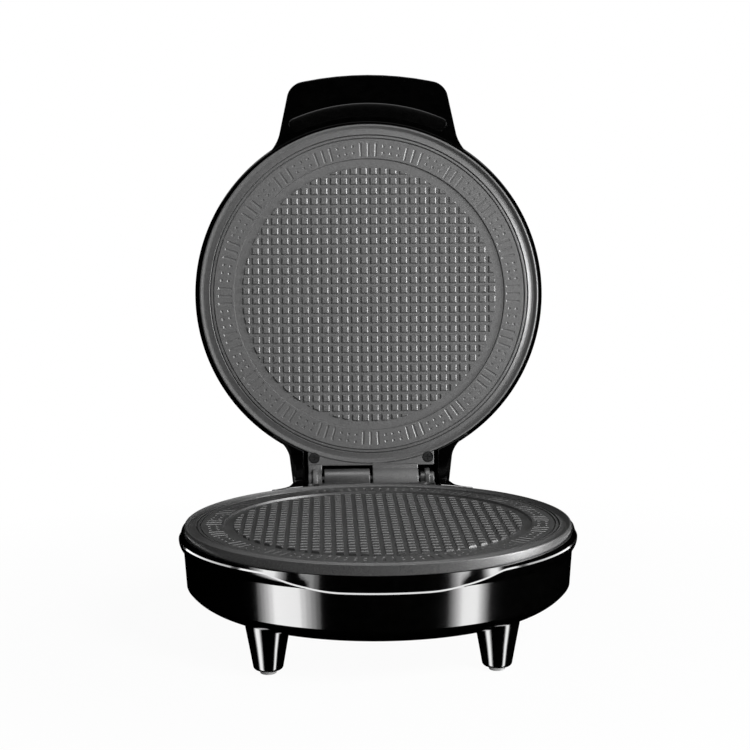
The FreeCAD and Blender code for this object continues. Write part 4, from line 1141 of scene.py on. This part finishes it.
# %% Light
BASE_GLOSS = pieces_named("base_moulding", "taper")
LID_GLOSS = pieces_named("lid_moulding", "cover")
METAL = pieces_named("casting", "heads")
LOWER_PLATE = pieces_named("lower_plate_casting")

lamp("key_front", (0.55, -0.75, 0.72), (0, 0.08, 0.15), 0.35, 0.35, 12.5, kept_from=LOWER_PLATE)
lamp("key_low", (0.4, -0.85, 0.4), (0, 0, 0.06), 0.35, 0.35, 1.6)
lamp("key_right", (0.8, -0.2, 0.2), (0, 0.08, 0.15), 0.3, 0.4, 4)
soft_panel("left_panel", -53, 0.52, 23, BASE_GLOSS)
soft_panel("right_panel", 49, 0.32, 14, BASE_GLOSS)
lamp("overhead_panel", (0, -0.25, 0.9), (0, -0.25, 0), 2.2, 0.8, 110, BASE_GLOSS)
for side in (-1, 1):
    lamp(f"ledge_panel_{side}", (side * 0.87, 0.57, 0.52), (0, 0, 0.05), 1.0, 0.5, 14, BASE_GLOSS)
lamp("lid_overhead", (0, -0.02, 1.0), (0, -0.02, 0), 0.7, 0.34, 2, LID_GLOSS)
for side, power in ((-1, 0.6), (1, 1.5)):
    lamp(f"lid_panel_{side}", (side * 0.8, -0.02, 0.27), (0, -0.02, 0.27), 0.34, 0.4, power, LID_GLOSS)
lamp("right_glint", (0.75, -0.15, 0.2), (0, 0.1, 0.15), 0.4, 0.6, 26, METAL)
lamp("overhead_glint", (0, -0.02, 0.9), (0, -0.02, 0), 0.9, 0.4, 8, LOWER_PLATE)
for step in range(PANEL_STEPS):
    width = 0.34 - 0.06 * step
    place = (0, 0.85 - PANEL_STEP_DEPTH * step, 0)
    lamp(f"lid_rear_{step}", place, (0, 0.1, 0.17), width, 0.7 * width, 1.6 * width ** 2, LID_GLOSS)
print("lamps and panels:", len(bpy.data.lights))

# %% [markdown]
# The camera stands where the photograph was taken: a little left of the middle, 0.75 m in front and
# 0.22 m up, and looks down by 6.5 degrees. Its axes follow from three angles.

# %% Camera
CAMERA_PLACE = Vector((-25.92, -752.39, 222.44)) * MM
YAW, PITCH, ROLL = (math.radians(angle) for angle in (1.902, 6.518, -0.400))
SENSOR_WIDTH = 36
FOCAL_LENGTH = 71.39

ahead = Vector((math.sin(YAW) * math.cos(PITCH), math.cos(YAW) * math.cos(PITCH), -math.sin(PITCH)))
level_right = Vector((math.cos(YAW), -math.sin(YAW), 0))
level_up = level_right.cross(ahead)
right = level_right * math.cos(ROLL) + level_up * math.sin(ROLL)
up = level_up * math.cos(ROLL) - level_right * math.sin(ROLL)
camera_data = bpy.data.cameras.new("camera")
camera_data.sensor_width = SENSOR_WIDTH
camera_data.lens = FOCAL_LENGTH
camera = bpy.data.objects.new("camera", camera_data)
axes = Matrix((right, up, -ahead)).transposed().to_4x4()
camera.matrix_world = Matrix.Translation(CAMERA_PLACE) @ axes
bpy.context.scene.collection.objects.link(camera)
bpy.context.scene.camera = camera
bpy.context.scene.view_settings.view_transform = "Standard"
print("camera at", tuple(round(number, 3) for number in CAMERA_PLACE))

# %% [markdown]
# Last, the box of the dressed object is printed beside the box of the solids.

# %% Sizes of the solids and the dressed object
dressed_box = [list(corner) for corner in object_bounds()]
for name, box in (("solids", solid_box), ("dressed", dressed_box)):
    print(name, [[round(number * 1000, 2) for number in corner] for corner in box])
